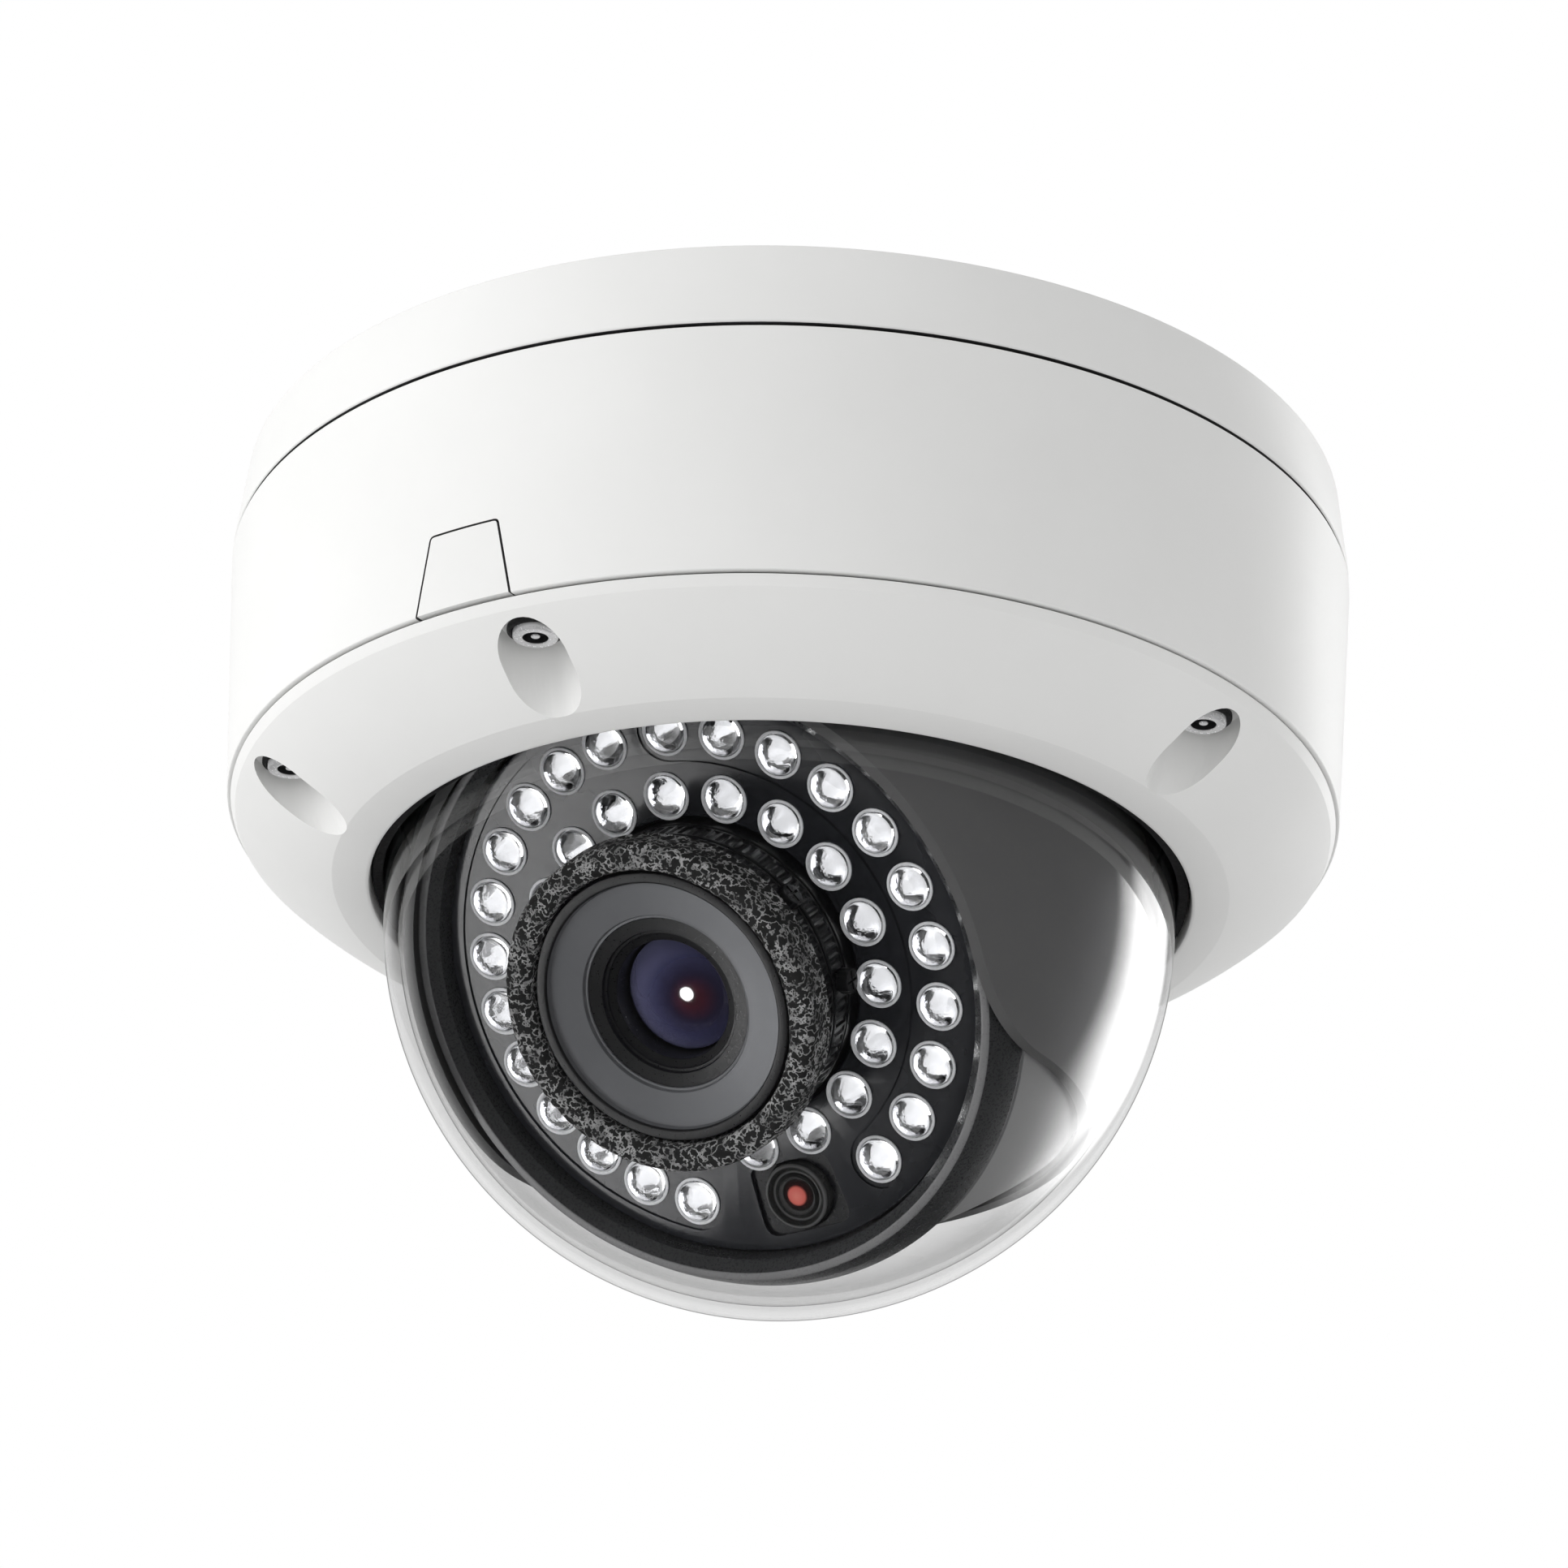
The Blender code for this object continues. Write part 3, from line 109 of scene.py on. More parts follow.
def rounded(outline, steps=4):
    """A closed outline whose corners are (x, y) or (x, y, radius), with those radii rounded."""
    points = []
    count = len(outline)
    for i, corner in enumerate(outline):
        here = Vector(corner[:2])
        if len(corner) < 3:
            points.append(tuple(here))
            continue
        back = Vector(outline[i - 1][:2]) - here
        ahead = Vector(outline[(i + 1) % count][:2]) - here
        reach = corner[2] / math.tan(back.angle(ahead) / 2)
        reach = min(reach, 0.48 * back.length, 0.48 * ahead.length)
        start, end = here + back.normalized() * reach, here + ahead.normalized() * reach
        for k in range(steps + 1):
            t = k / steps
            points.append(tuple(start * (1 - t) ** 2 + here * 2 * t * (1 - t) + end * t * t))
    return points


def lathe(bm, outline, steps=ROUND, centre=(0.0, 0.0), wave=None):
    """Turns a closed (r, z) outline about an upright line; wave changes a radius by (r, z, step)."""
    rings = []
    for r, z in outline:
        if r < ON_AXIS:
            rings.append([bm.verts.new(Vector((centre[0], centre[1], z)) * MM)])
            continue
        ring = []
        for i in range(steps):
            spot = on_circle(wave(r, z, i) if wave else r, 360 * i / steps)
            ring.append(bm.verts.new(Vector((centre[0] + spot.x, centre[1] + spot.y, z)) * MM))
        rings.append(ring)
    for lower, upper in zip(rings, rings[1:] + rings[:1]):
        if len(lower) == 1 and len(upper) == 1:
            continue
        for i in range(steps):
            j = (i + 1) % steps
            corners = [lower[i % len(lower)], lower[j % len(lower)]]
            corners += [upper[j % len(upper)], upper[i % len(upper)]]
            bm.faces.new(list(dict.fromkeys(corners)))
    return bm


def turned(outline, steps=ROUND, centre=(0.0, 0.0), wave=None):
    return lathe(bmesh.new(), rounded(outline), steps, centre, wave)


def rods(radius, low, high, spots, sides=32):
    bm = bmesh.new()
    for spot in spots:
        lathe(bm, [(0.0, low), (radius, low), (radius, high), (0.0, high)], sides, spot)
    return bm


def prism(outline, low, high):
    bm = bmesh.new()
    bottom = [bm.verts.new(Vector((x, y, low)) * MM) for x, y in outline]
    top = [bm.verts.new(Vector((x, y, high)) * MM) for x, y in outline]
    bm.faces.new(bottom[::-1])
    bm.faces.new(top)
    for i in range(len(outline)):
        j = (i + 1) % len(outline)
        bm.faces.new((bottom[i], bottom[j], top[j], top[i]))
    return bm


def capsule(length, width, steps=10):
    reach = (length - width) / 2
    return arc(width / 2, -90, 90, steps, (reach, 0)) + arc(width / 2, 90, 270, steps, (-reach, 0))


def moved(bm, matrix):
    bmesh.ops.transform(bm, matrix=matrix, verts=bm.verts)
    return bm


def work_object(bm):
    bmesh.ops.recalc_face_normals(bm, faces=bm.faces)
    mesh = bpy.data.meshes.new("work")
    bm.to_mesh(mesh)
    bm.free()
    obj = bpy.data.objects.new("work", mesh)
    bpy.context.scene.collection.objects.link(obj)
    return obj


def combined(bm, operation, *tools):
    """The shape after each tool is cut from it, joined to it or kept with it."""
    target = work_object(bm)
    cutters = [work_object(tool) for tool in tools]
    for cutter in cutters:
        step = target.modifiers.new("step", "BOOLEAN")
        step.solver = "EXACT"
        step.operation = operation
        step.object = cutter
    result = bmesh.new()
    result.from_object(target, bpy.context.evaluated_depsgraph_get())
    for obj in [target, *cutters]:
        bpy.data.objects.remove(obj)
    return result


def place(name, bm, body, nodes, materials, matrix=None, sharp=32):
    """Makes the shape a piece of the part: it rides on a body and stands for CAD nodes."""
    bmesh.ops.recalc_face_normals(bm, faces=bm.faces)
    mesh = bpy.data.meshes.new(name)
    bm.to_mesh(mesh)
    bm.free()
    for material in materials if isinstance(materials, (list, tuple)) else [materials]:
        mesh.materials.append(material)
    mesh.shade_smooth()
    mesh.set_sharp_from_angle(angle=math.radians(sharp))
    obj = bpy.data.objects.new(name, mesh)
    bpy.context.scene.collection.objects.link(obj)
    if matrix is not None:
        obj.matrix_world = matrix
    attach(obj, body)
    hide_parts(*nodes)
    return obj


# ---------------------------------------------------------------- materials


def node(tree, kind, inputs=None, **settings):
    made = tree.nodes.new(kind)
    for key, value in settings.items():
        setattr(made, key, value)
    for key, value in (inputs or {}).items():
        if isinstance(value, bpy.types.NodeSocket):
            tree.links.new(value, made.inputs[key])
        else:
            made.inputs[key].default_value = value
    return made


def new_material(name):
    material = bpy.data.materials.new(name)
    material.use_nodes = True
    tree = material.node_tree
    tree.nodes.clear()
    return material, tree


def ramp(tree, fac, stops):
    made = node(tree, "ShaderNodeValToRGB", {"Fac": fac})
    elements = made.color_ramp.elements
    while len(elements) < len(stops):
        elements.new(0.5)
    for element, (position, color) in zip(elements, stops):
        element.position = position
        element.color = (*color, 1.0) if isinstance(color, tuple) else (color, color, color, 1.0)
    return made.outputs["Color"]


def noise_fac(tree, coords, scale, detail=3.0, rough=0.55):
    made = node(tree, "ShaderNodeTexNoise",
                {"Vector": coords, "Scale": scale, "Detail": detail, "Roughness": rough})
    return made.outputs["Fac"]


def object_coords(tree):
    return node(tree, "ShaderNodeTexCoord").outputs["Object"]


def finish_material(tree, color, roughness, height=None, strength=0.1, depth=0.0001, **sockets):
    """The Principled shader with its links; constants go straight to its own sockets."""
    inputs = {"Base Color": color, "Roughness": roughness}
    if height is not None:
        bump = node(tree, "ShaderNodeBump", {"Height": height, "Strength": strength, "Distance": depth})
        inputs["Normal"] = bump.outputs["Normal"]
    shader = node(tree, "ShaderNodeBsdfPrincipled", inputs)
    for key, value in sockets.items():
        shader.inputs[key.replace("_", " ")].default_value = value
    node(tree, "ShaderNodeOutputMaterial", {"Surface": shader.outputs["BSDF"]})


def mapped(tree, value, low, high):
    made = node(tree, "ShaderNodeMapRange",
                {"Value": value, "From Min": 0.3, "From Max": 0.7, "To Min": low, "To Max": high})
    return made.outputs["Result"]


def grained(name, dark, light, rough, grain, patch=40.0, strength=0.12, depth=0.0001, **sockets):
    """A moulded, painted or cast surface: broad tone changes, with fine grain in roughness and bump."""
    material, tree = new_material(name)
    coords = object_coords(tree)
    color = ramp(tree, noise_fac(tree, coords, patch, 4.0), [(0.3, dark), (0.7, light)])
    fine = noise_fac(tree, coords, grain, 3.0)
    finish_material(tree, color, mapped(tree, fine, *rough), fine, strength, depth, **sockets)
    return material


paint = grained("white_powder_coat", (0.80, 0.80, 0.79), (0.83, 0.83, 0.82), (0.40, 0.52), 2600, 30, 0.06,
                0.00006, Specular_IOR_Level=0.45)
trim_paint = grained("white_trim", (0.78, 0.78, 0.77), (0.80, 0.80, 0.79), (0.42, 0.55), 3000, 60, 0.08,
                     0.00006)
# Painted shade: these two dark finishes go on the faces inside the seams and grooves between the white parts,
# standing for the shade in those gaps.
seam_shade_grey = grained("painted_seam_shade_grey", (0.10, 0.10, 0.10), (0.14, 0.14, 0.14), (0.5, 0.7), 1800, 100, 0.2)
seam_shade_dark = grained("painted_seam_shade_dark", (0.03, 0.03, 0.031), (0.05, 0.05, 0.052), (0.5, 0.7), 1800, 100,
                     0.2)
rubber = grained("moulded_rubber", (0.012, 0.012, 0.013), (0.022, 0.022, 0.023), (0.55, 0.8), 2400, 90, 0.2)
dark_plastic = grained("dark_moulded_plastic", (0.030, 0.031, 0.033), (0.040, 0.041, 0.043), (0.38, 0.52),
                       4000, 60, 0.1, 0.00005)
shroud_plastic = grained("shroud_plastic", (0.105, 0.105, 0.106), (0.120, 0.120, 0.121), (0.42, 0.55), 3600,
                         40, 0.08, 0.00005)
ball_plastic = grained("ball_grey_plastic", (0.20, 0.20, 0.202), (0.225, 0.225, 0.227), (0.4, 0.52), 3600, 40,
                       0.08, 0.00005)
bezel_plastic = grained("bezel_plastic", (0.028, 0.0285, 0.030), (0.036, 0.0365, 0.038), (0.24, 0.34), 3600,
                        60, 0.06, 0.00004)
# Painted highlight: a lighter grey for the bezel's front rim, standing for the glossy highlight along that
# edge.
bezel_rim_highlight = grained("bezel_rim_highlight", (0.15, 0.15, 0.153), (0.18, 0.18, 0.183), (0.25, 0.35), 3600, 60, 0.06,
                    0.00004)
panel_plastic = grained("panel_slate", (0.016, 0.017, 0.020), (0.021, 0.022, 0.026), (0.16, 0.24), 2200, 50,
                        0.03, 0.00003, Coat_Weight=0.4, Coat_Roughness=0.12)
panel_recess = grained("panel_recess", (0.007, 0.007, 0.009), (0.010, 0.010, 0.012), (0.25, 0.34), 2200, 50,
                       0.03, 0.00003)
barrel_black = grained("barrel_black", (0.006, 0.006, 0.007), (0.010, 0.010, 0.011), (0.26, 0.4), 3200, 80,
                       0.08, 0.00005)
steel_sheet = grained("zinc_sheet", (0.42, 0.43, 0.44), (0.56, 0.57, 0.58), (0.3, 0.5), 900, 120, 0.1,
                      0.00004, Metallic=1.0)
aluminium = grained("cast_aluminium", (0.55, 0.55, 0.56), (0.64, 0.64, 0.65), (0.32, 0.5), 1500, 100, 0.15,
                    0.00005, Metallic=1.0)
screw_steel = grained("screw_steel", (0.55, 0.55, 0.56), (0.75, 0.75, 0.76), (0.12, 0.3), 3000, 400, 0.05,
                      0.00003, Metallic=1.0)
screw_bright = grained("nickel_screw", (0.72, 0.72, 0.73), (0.86, 0.86, 0.87), (0.16, 0.3), 3000, 400, 0.05,
                       0.00003, Metallic=0.45)
tin = grained("tinned_shell", (0.6, 0.6, 0.61), (0.72, 0.72, 0.73), (0.25, 0.42), 1800, 200, 0.08, 0.00003,
              Metallic=1.0)
ivory = grained("ivory_housing", (0.60, 0.57, 0.47), (0.68, 0.65, 0.55), (0.4, 0.55), 2600, 100, 0.08,
                0.00004)
chip_black = grained("chip_epoxy", (0.012, 0.012, 0.013), (0.02, 0.02, 0.021), (0.35, 0.55), 4200, 200, 0.15,
                     0.00003)
button_black = grained("button_plastic", (0.03, 0.03, 0.031), (0.045, 0.045, 0.046), (0.4, 0.55), 3800, 200,
                       0.1)
chrome = grained("led_reflector", (0.80, 0.80, 0.82), (0.92, 0.92, 0.94), (0.04, 0.16), 1800, 700, 0.25,
                 0.00012, Metallic=1.0)
led_rim = grained("led_rim", (0.72, 0.73, 0.75), (0.85, 0.86, 0.88), (0.2, 0.35), 2600, 500, 0.05, 0.00003)


def board_material(name, solder_mask, copper):
    """A printed board: fine routed traces, vias and a slightly uneven mask."""
    material, tree = new_material(name)
    coords = object_coords(tree)
    lines = node(tree, "ShaderNodeTexBrick", {"Vector": coords, "Scale": 420.0, "Mortar Size": 0.05,
                                              "Color1": (1, 1, 1, 1), "Color2": (0.9, 0.9, 0.9, 1),
                                              "Mortar": (0, 0, 0, 1)})
    cells = node(tree, "ShaderNodeTexVoronoi", {"Vector": coords, "Scale": 260.0})
    dots = ramp(tree, cells.outputs["Distance"], [(0.08, 0.0), (0.12, 1.0)])
    mask = node(tree, "ShaderNodeMix", {6: dots, 7: lines.outputs["Color"]}, data_type="RGBA",
                blend_type="MULTIPLY")
    mask.inputs[0].default_value = 1.0
    base = node(tree, "ShaderNodeMix", {0: mask.outputs[2], 6: copper, 7: solder_mask}, data_type="RGBA")
    fine = noise_fac(tree, coords, 1500, 3.0)
    finish_material(tree, base.outputs[2], mapped(tree, fine, 0.3, 0.48), mask.outputs[2], 0.3, 0.00005)
    return material


main_green = board_material("board_green", (0.015, 0.13, 0.05, 1), (0.05, 0.24, 0.10, 1))
led_board_mask = board_material("board_black", (0.012, 0.012, 0.014, 1), (0.04, 0.04, 0.045, 1))


def radial(tree, coords):
    """Distance from the piece's own Z axis, in millimetres."""
    flat = node(tree, "ShaderNodeVectorMath", {0: coords, 1: (1.0, 1.0, 0.0)}, operation="MULTIPLY")
    length = node(tree, "ShaderNodeVectorMath", {0: flat.outputs[0]}, operation="LENGTH")
    return node(tree, "ShaderNodeMath", {0: length.outputs["Value"], 1: 1000.0},
                operation="MULTIPLY").outputs[0]


def anodised(name, dark, light, rough, groove=1500.0):
    """Turned metal with fine concentric tool marks."""
    material, tree = new_material(name)
    coords = object_coords(tree)
    distance = radial(tree, coords)
    marks = node(tree, "ShaderNodeTexNoise", {"W": distance, "Scale": groove / 250, "Detail": 2.0},
                 noise_dimensions="1D").outputs["Fac"]
    color = ramp(tree, noise_fac(tree, coords, 60), [(0.3, dark), (0.7, light)])
    finish_material(tree, color, mapped(tree, marks, *rough), marks, 0.06, 0.00003, Metallic=0.35)
    return material


nose_grey = anodised("nose_satin_grey", (0.115, 0.118, 0.126), (0.135, 0.138, 0.146), (0.3, 0.42))


def foam_material():
    """Open-cell flecked foam: pale winding struts over dark cells."""
    material, tree = new_material("flecked_foam")
    coords = object_coords(tree)
    winding = noise_fac(tree, coords, 1000, 2.0, 0.55)
    struts = ramp(tree, winding, [(0.44, 0.012), (0.48, 0.34), (0.52, 0.34), (0.56, 0.012)])
    flecks = ramp(tree, noise_fac(tree, coords, 520, 3.0, 0.6), [(0.38, 0.35), (0.60, 1.0)])
    color = node(tree, "ShaderNodeMix", {6: (0.014, 0.014, 0.015, 1), 7: struts, 0: flecks}, data_type="RGBA")
    finish_material(tree, color.outputs[2], 0.9, winding, 0.6, 0.0002)
    return material


foam = foam_material()


def coated_glass(name, stops, centre_offset=(0.0, 0.0, 0.0)):
    """A coated lens element: dark inside, with the coating's tint growing towards its rim. A centre offset
    moves the middle of that tint off the axis, which paints one side lighter, a painted reflection.
    """
    material, tree = new_material(name)
    coords = object_coords(tree)
    shifted = node(tree, "ShaderNodeVectorMath", {0: coords, 1: centre_offset}, operation="ADD").outputs[0]
    distance = radial(tree, shifted)
    part = node(tree, "ShaderNodeMath", {0: distance, 1: 10.0}, operation="DIVIDE").outputs[0]
    color = ramp(tree, part, stops)
    dust = noise_fac(tree, coords, 900, 5.0)
    finish_material(tree, color, mapped(tree, dust, 0.05, 0.10), Coat_Weight=1.0, Coat_Roughness=0.08,
                    Specular_IOR_Level=0.6)
    return material


# Painted reflection: the tint's middle is shifted off the lens axis, so one side is painted a lighter
# violet-blue and a red glow is painted where the lens highlight falls, standing for the coating's sheen.
front_glass = coated_glass("coated_front_glass", [(0.0, (0.022, 0.004, 0.007)), (0.12, (0.030, 0.006, 0.011)),
                                                  (0.30, (0.010, 0.008, 0.020)),
                                                  (0.52, (0.024, 0.024, 0.055)),
                                                  (0.80, (0.058, 0.058, 0.105))], (-0.0024, 0.0006, 0.0))
inner_glass = coated_glass("inner_glass", [(0.0, (0.01, 0.01, 0.02)), (0.6, (0.02, 0.03, 0.08)),
                                           (1.0, (0.05, 0.04, 0.09))])
filter_glass = coated_glass("filter_glass", [(0.0, (0.02, 0.05, 0.06)), (0.5, (0.03, 0.10, 0.11)),
                                             (1.0, (0.09, 0.03, 0.05))])
sensor_eye = coated_glass("sensor_eye", [
    (0.0, (0.80, 0.24, 0.20)), (0.11, (0.72, 0.16, 0.13)), (0.135, (0.05, 0.012, 0.012)), (0.20, 0.012),
    (0.225, 0.11), (0.25, 0.014), (0.29, 0.014), (0.305, 0.13), (0.33, 0.016), (0.37, 0.018), (0.39, 0.15),
    (0.42, 0.05)])


def clear_plastic(name, edge_stops, haze):
    """Clear moulded plastic that doesn't bend what is behind it: its faces mirror by Fresnel, and let less
    light through where they are seen edge on."""
    material, tree = new_material(name)
    coords = object_coords(tree)
    ripple = noise_fac(tree, coords, 35, 2.0)
    bump = node(tree, "ShaderNodeBump", {"Height": ripple, "Strength": 0.03, "Distance": 0.0002})
    inside = node(tree, "ShaderNodeNewGeometry").outputs["Backfacing"]
    index = node(tree, "ShaderNodeMix", {0: inside})
    index.inputs[2].default_value, index.inputs[3].default_value = CLEAR_IOR, 1 / CLEAR_IOR
    share = node(tree, "ShaderNodeFresnel", {"IOR": index.outputs[0], "Normal": bump.outputs["Normal"]})
    edge = node(tree, "ShaderNodeLayerWeight", {"Blend": 0.5}).outputs["Facing"]
    see = node(tree, "ShaderNodeBsdfTransparent", {"Color": ramp(tree, edge, edge_stops)})
    shine = node(tree, "ShaderNodeBsdfPrincipled",
                 {"Roughness": mapped(tree, noise_fac(tree, coords, 600), 0.0, haze),
                                                    "Normal": bump.outputs["Normal"]})
    shine.inputs["Base Color"].default_value = (1, 1, 1, 1)
    shine.inputs["Metallic"].default_value = 1.0
    mix = node(tree, "ShaderNodeMixShader", {0: share.outputs["Fac"], 1: see.outputs[0], 2: shine.outputs[0]})
    node(tree, "ShaderNodeOutputMaterial", {"Surface": mix.outputs[0]})
    return material


clear_outer = clear_plastic("clear_dome_outside",
                            [(0.74, 0.99), (0.84, 0.95), (0.93, 0.82), (0.98, 0.55), (1.0, 0.45)], 0.03)
clear_inner = clear_plastic("clear_dome_inside", [(0.88, 0.99), (0.955, 0.80), (1.0, 0.55)], 0.03)


def led_lens():
    material, tree = new_material("led_epoxy")
    coords = object_coords(tree)
    flow = noise_fac(tree, coords, 700, 3.0)
    finish_material(tree, (0.97, 0.975, 0.98, 1), mapped(tree, flow, 0.0, 0.03), flow, 0.1, 0.0001,
                    Transmission_Weight=1.0, IOR=1.45)
    return material


led_clear = led_lens()


# ---------------------------------------------------------------- white body


def make_base():
    cup = turned([(0, 0), (68.6, 0, 0.45), (70.0, BASE_BOTTOM, 0.4), (66.4, BASE_BOTTOM, 0.2),
                  (66.0, -3.5, 0.8), (0, -3.5)])
    posts = [on_circle(POST_CIRCLE, angle) for angle in POST_ANGLES]
    cup = combined(cup, "UNION", rods(3.2, -10.8, -1.75, posts))
    holes = rods(1.5, -12, -5, posts, 24)
    lathe(holes, [(0, -5), (12.5, -5), (12.5, 1), (0, 1)], 96, (0, CABLE_HOLE_Y))
    for angle in SLOT_ANGLES:
        turn = Matrix.Rotation(math.radians(angle + 90), 4, "Z")
        turn = Matrix.Translation((*on_circle(SLOT_CIRCLE, angle) * MM, 0)) @ turn
        cup = combined(cup, "DIFFERENCE", moved(prism(capsule(13, 6), -5, 1), turn))
    cup = combined(cup, "DIFFERENCE", holes)
    # Painted shade: the cup's bottom rim, inside its seam with the housing, takes the dark seam finish.
    darken(cup, lambda middle, normal: middle.z < BASE_BOTTOM + 0.15 and middle.xy.length < 69.7)
    place("base_cup", cup, "housing", ["mounting_base"], [paint, seam_shade_dark])

    seal = turned([(5, -0.4, 0.5), (12.2, -0.4, 0.4), (12.2, -3.8), (14.4, -3.8, 0.2), (14.4, -5.0, 0.5),
                   (8.0, -5.4, 0.8), (6.6, -8.2, 0.4), (5, -8.2, 0.3)], 96)
    place("grommet", moved(seal, Matrix.Translation((0, CABLE_HOLE_Y * MM, 0))), "housing",
          ["cable_grommet"], rubber)


def tab_outline(clearance):
    low, high = -43.2 - clearance * 4, -33.5 + clearance
    slope = (13.2 - 9.4) / 2 / 9.8
    top = 4.7 + clearance - slope * clearance
    bottom = top + slope * (high - low)
    return [(-bottom, low), (bottom, low), (top, high, 0.5 + clearance), (-top, high, 0.5 + clearance)]


def on_tab(outline, low, high):
    """A prism whose outline is drawn on the tab's face, from radius low to radius high."""
    turn = Matrix.Rotation(math.radians(TAB_AZIMUTH), 4, "Z") @ Matrix.Rotation(math.pi / 2, 4, "X")
    return moved(prism(outline, low, high), turn)


def make_housing():
    top, bottom = HOUSING_TOP, HOUSING_BOTTOM
    shell = turned([(59, top, 0.2), (70, top, 0.35), (68.8, bottom, 0.2), (67.8, bottom), (55.5, bottom, 0.2),
                    (55.5, -41.3, 0.2), (66.0, -41.3, 0.8), (66.6, -13.6, 0.6), (59, -13.6, 0.2)])
    spots = [at_azimuth(SCREW_CIRCLE, azimuth) for azimuth in SCREW_AZIMUTHS]
    shell = combined(shell, "UNION", rods(3.4, -42.3, -34.0, spots))
    shell = combined(shell, "DIFFERENCE", on_tab(rounded(tab_outline(0.3)), 65.6, 75),
                     rods(1.8, -44.3, -35.5, spots))
    # Painted shade: the housing's top face in the seam with the base takes the dark seam finish. The walls of
    # the tab's notch and the underside at the seam with the cover take the grey one.
    darken(shell, lambda middle, normal: middle.z > HOUSING_TOP - 0.1 and middle.xy.length < 69.7)
    for f in shell.faces:
        middle = f.calc_center_median() / MM
        wall = abs(f.normal.xy.dot(middle.xy.normalized())) < 0.6 and -43 < middle.z < -33
        underside = middle.xy.length < 67.8 and middle.z < HOUSING_BOTTOM + 0.1
        if underside or wall and 65 < middle.xy.length < 69.6:
            f.material_index = 2
    place("housing_shell", shell, "housing", ["main_housing"], [paint, seam_shade_dark, seam_shade_grey])

    band = turned([(66.3, -31.5), (69.3, -31.5), (68.75, -45.3), (66.3, -45.3)])
    tab = combined(band, "INTERSECT", on_tab(rounded(tab_outline(0.0)), 62, 75))
    # Painted shade: the tab's side walls and groove faces take the grey seam finish, standing for the shade
    # in its notch and grooves.
    darken(tab, lambda middle, normal: normal.z > -0.7
           and (abs(normal.xy.dot(middle.xy.normalized())) < 0.7 or middle.xy.length < 68.8))
    place("tab", tab, "housing", ["side_cable_cover"], [trim_paint, seam_shade_grey])


def bulged(start, end, bulge, steps):
    start, end = Vector(start), Vector(end)
    chord = end - start
    normal = Vector((-chord.y, chord.x)).normalized()
    normal = normal if normal.x > 0 else -normal
    shares = [i / steps for i in range(steps + 1)]
    return [tuple(start + chord * t + normal * bulge * 4 * t * (1 - t)) for t in shares]


def pocket(azimuth, sides=40):
    """A screw pocket: round at its seat, its inner wall sloping out towards the lip."""
    bm = bmesh.new()
    inner, below = SCREW_CIRCLE - 3, -60.3
    for radius, z in ((SCREW_CIRCLE, SCREW_SEAT), (SCREW_CIRCLE, below), (inner, -53.4), (inner, below)):
        centre = at_azimuth(radius, azimuth)
        for i in range(sides):
            rim = on_circle(POCKET_RADIUS, azimuth + 360 * i / sides)
            bm.verts.new(Vector((centre.x + rim.x, centre.y + rim.y, z)) * MM)
    hull = bmesh.ops.convex_hull(bm, input=bm.verts[:])
    inside = [v for v in set(hull["geom_interior"]) if isinstance(v, bmesh.types.BMVert)]
    bmesh.ops.delete(bm, geom=inside, context="VERTS")
    return bm


def darken(bm, hidden):
    """Gives the faces that hidden picks by their middle and normal the second material. The script uses it to
    paint shade into seams, grooves, screw sockets and the nose, and to paint a highlight on the bezel rim.
    """
    bmesh.ops.recalc_face_normals(bm, faces=bm.faces)
    for f in bm.faces:
        if hidden(f.calc_center_median() / MM, f.normal):
            f.material_index = 1
    return bm


def screw_shape(radius, height, shank, length, pin, ring=0.0):
    """A socket-head screw that faces +Z with a security pin, and a rubber washer when ring is set."""
    bm = turned([(0, -length), (shank, -length, 0.2), (shank, 0), (radius, 0, 0.15), (radius, height, 0.35),
                 (radius * 0.56, height, 0.12), (radius * 0.56, height * 0.45), (pin, height * 0.45),
                 (pin, height * 0.9, 0.15), (0, height * 0.9)], 48)
    # Painted shade: the socket walls round the pin take the second material, the black rubber, standing for
    # the shade inside the socket.
    darken(bm, lambda middle, normal: pin * 0.9 < middle.xy.length < radius * 0.57
           and 0 < middle.z < height * 0.8)
    if ring:
        count = len(bm.faces)
        washer = [(radius + 0.05, 0.1, 0.1), (ring, 0.1, 0.2), (ring, 0.9, 0.3), (radius + 0.05, 0.9, 0.2)]
        lathe(bm, rounded(washer), 48)
        bm.faces.ensure_lookup_table()
        for face in bm.faces[count:]:
            face.material_index = 1
    return bm


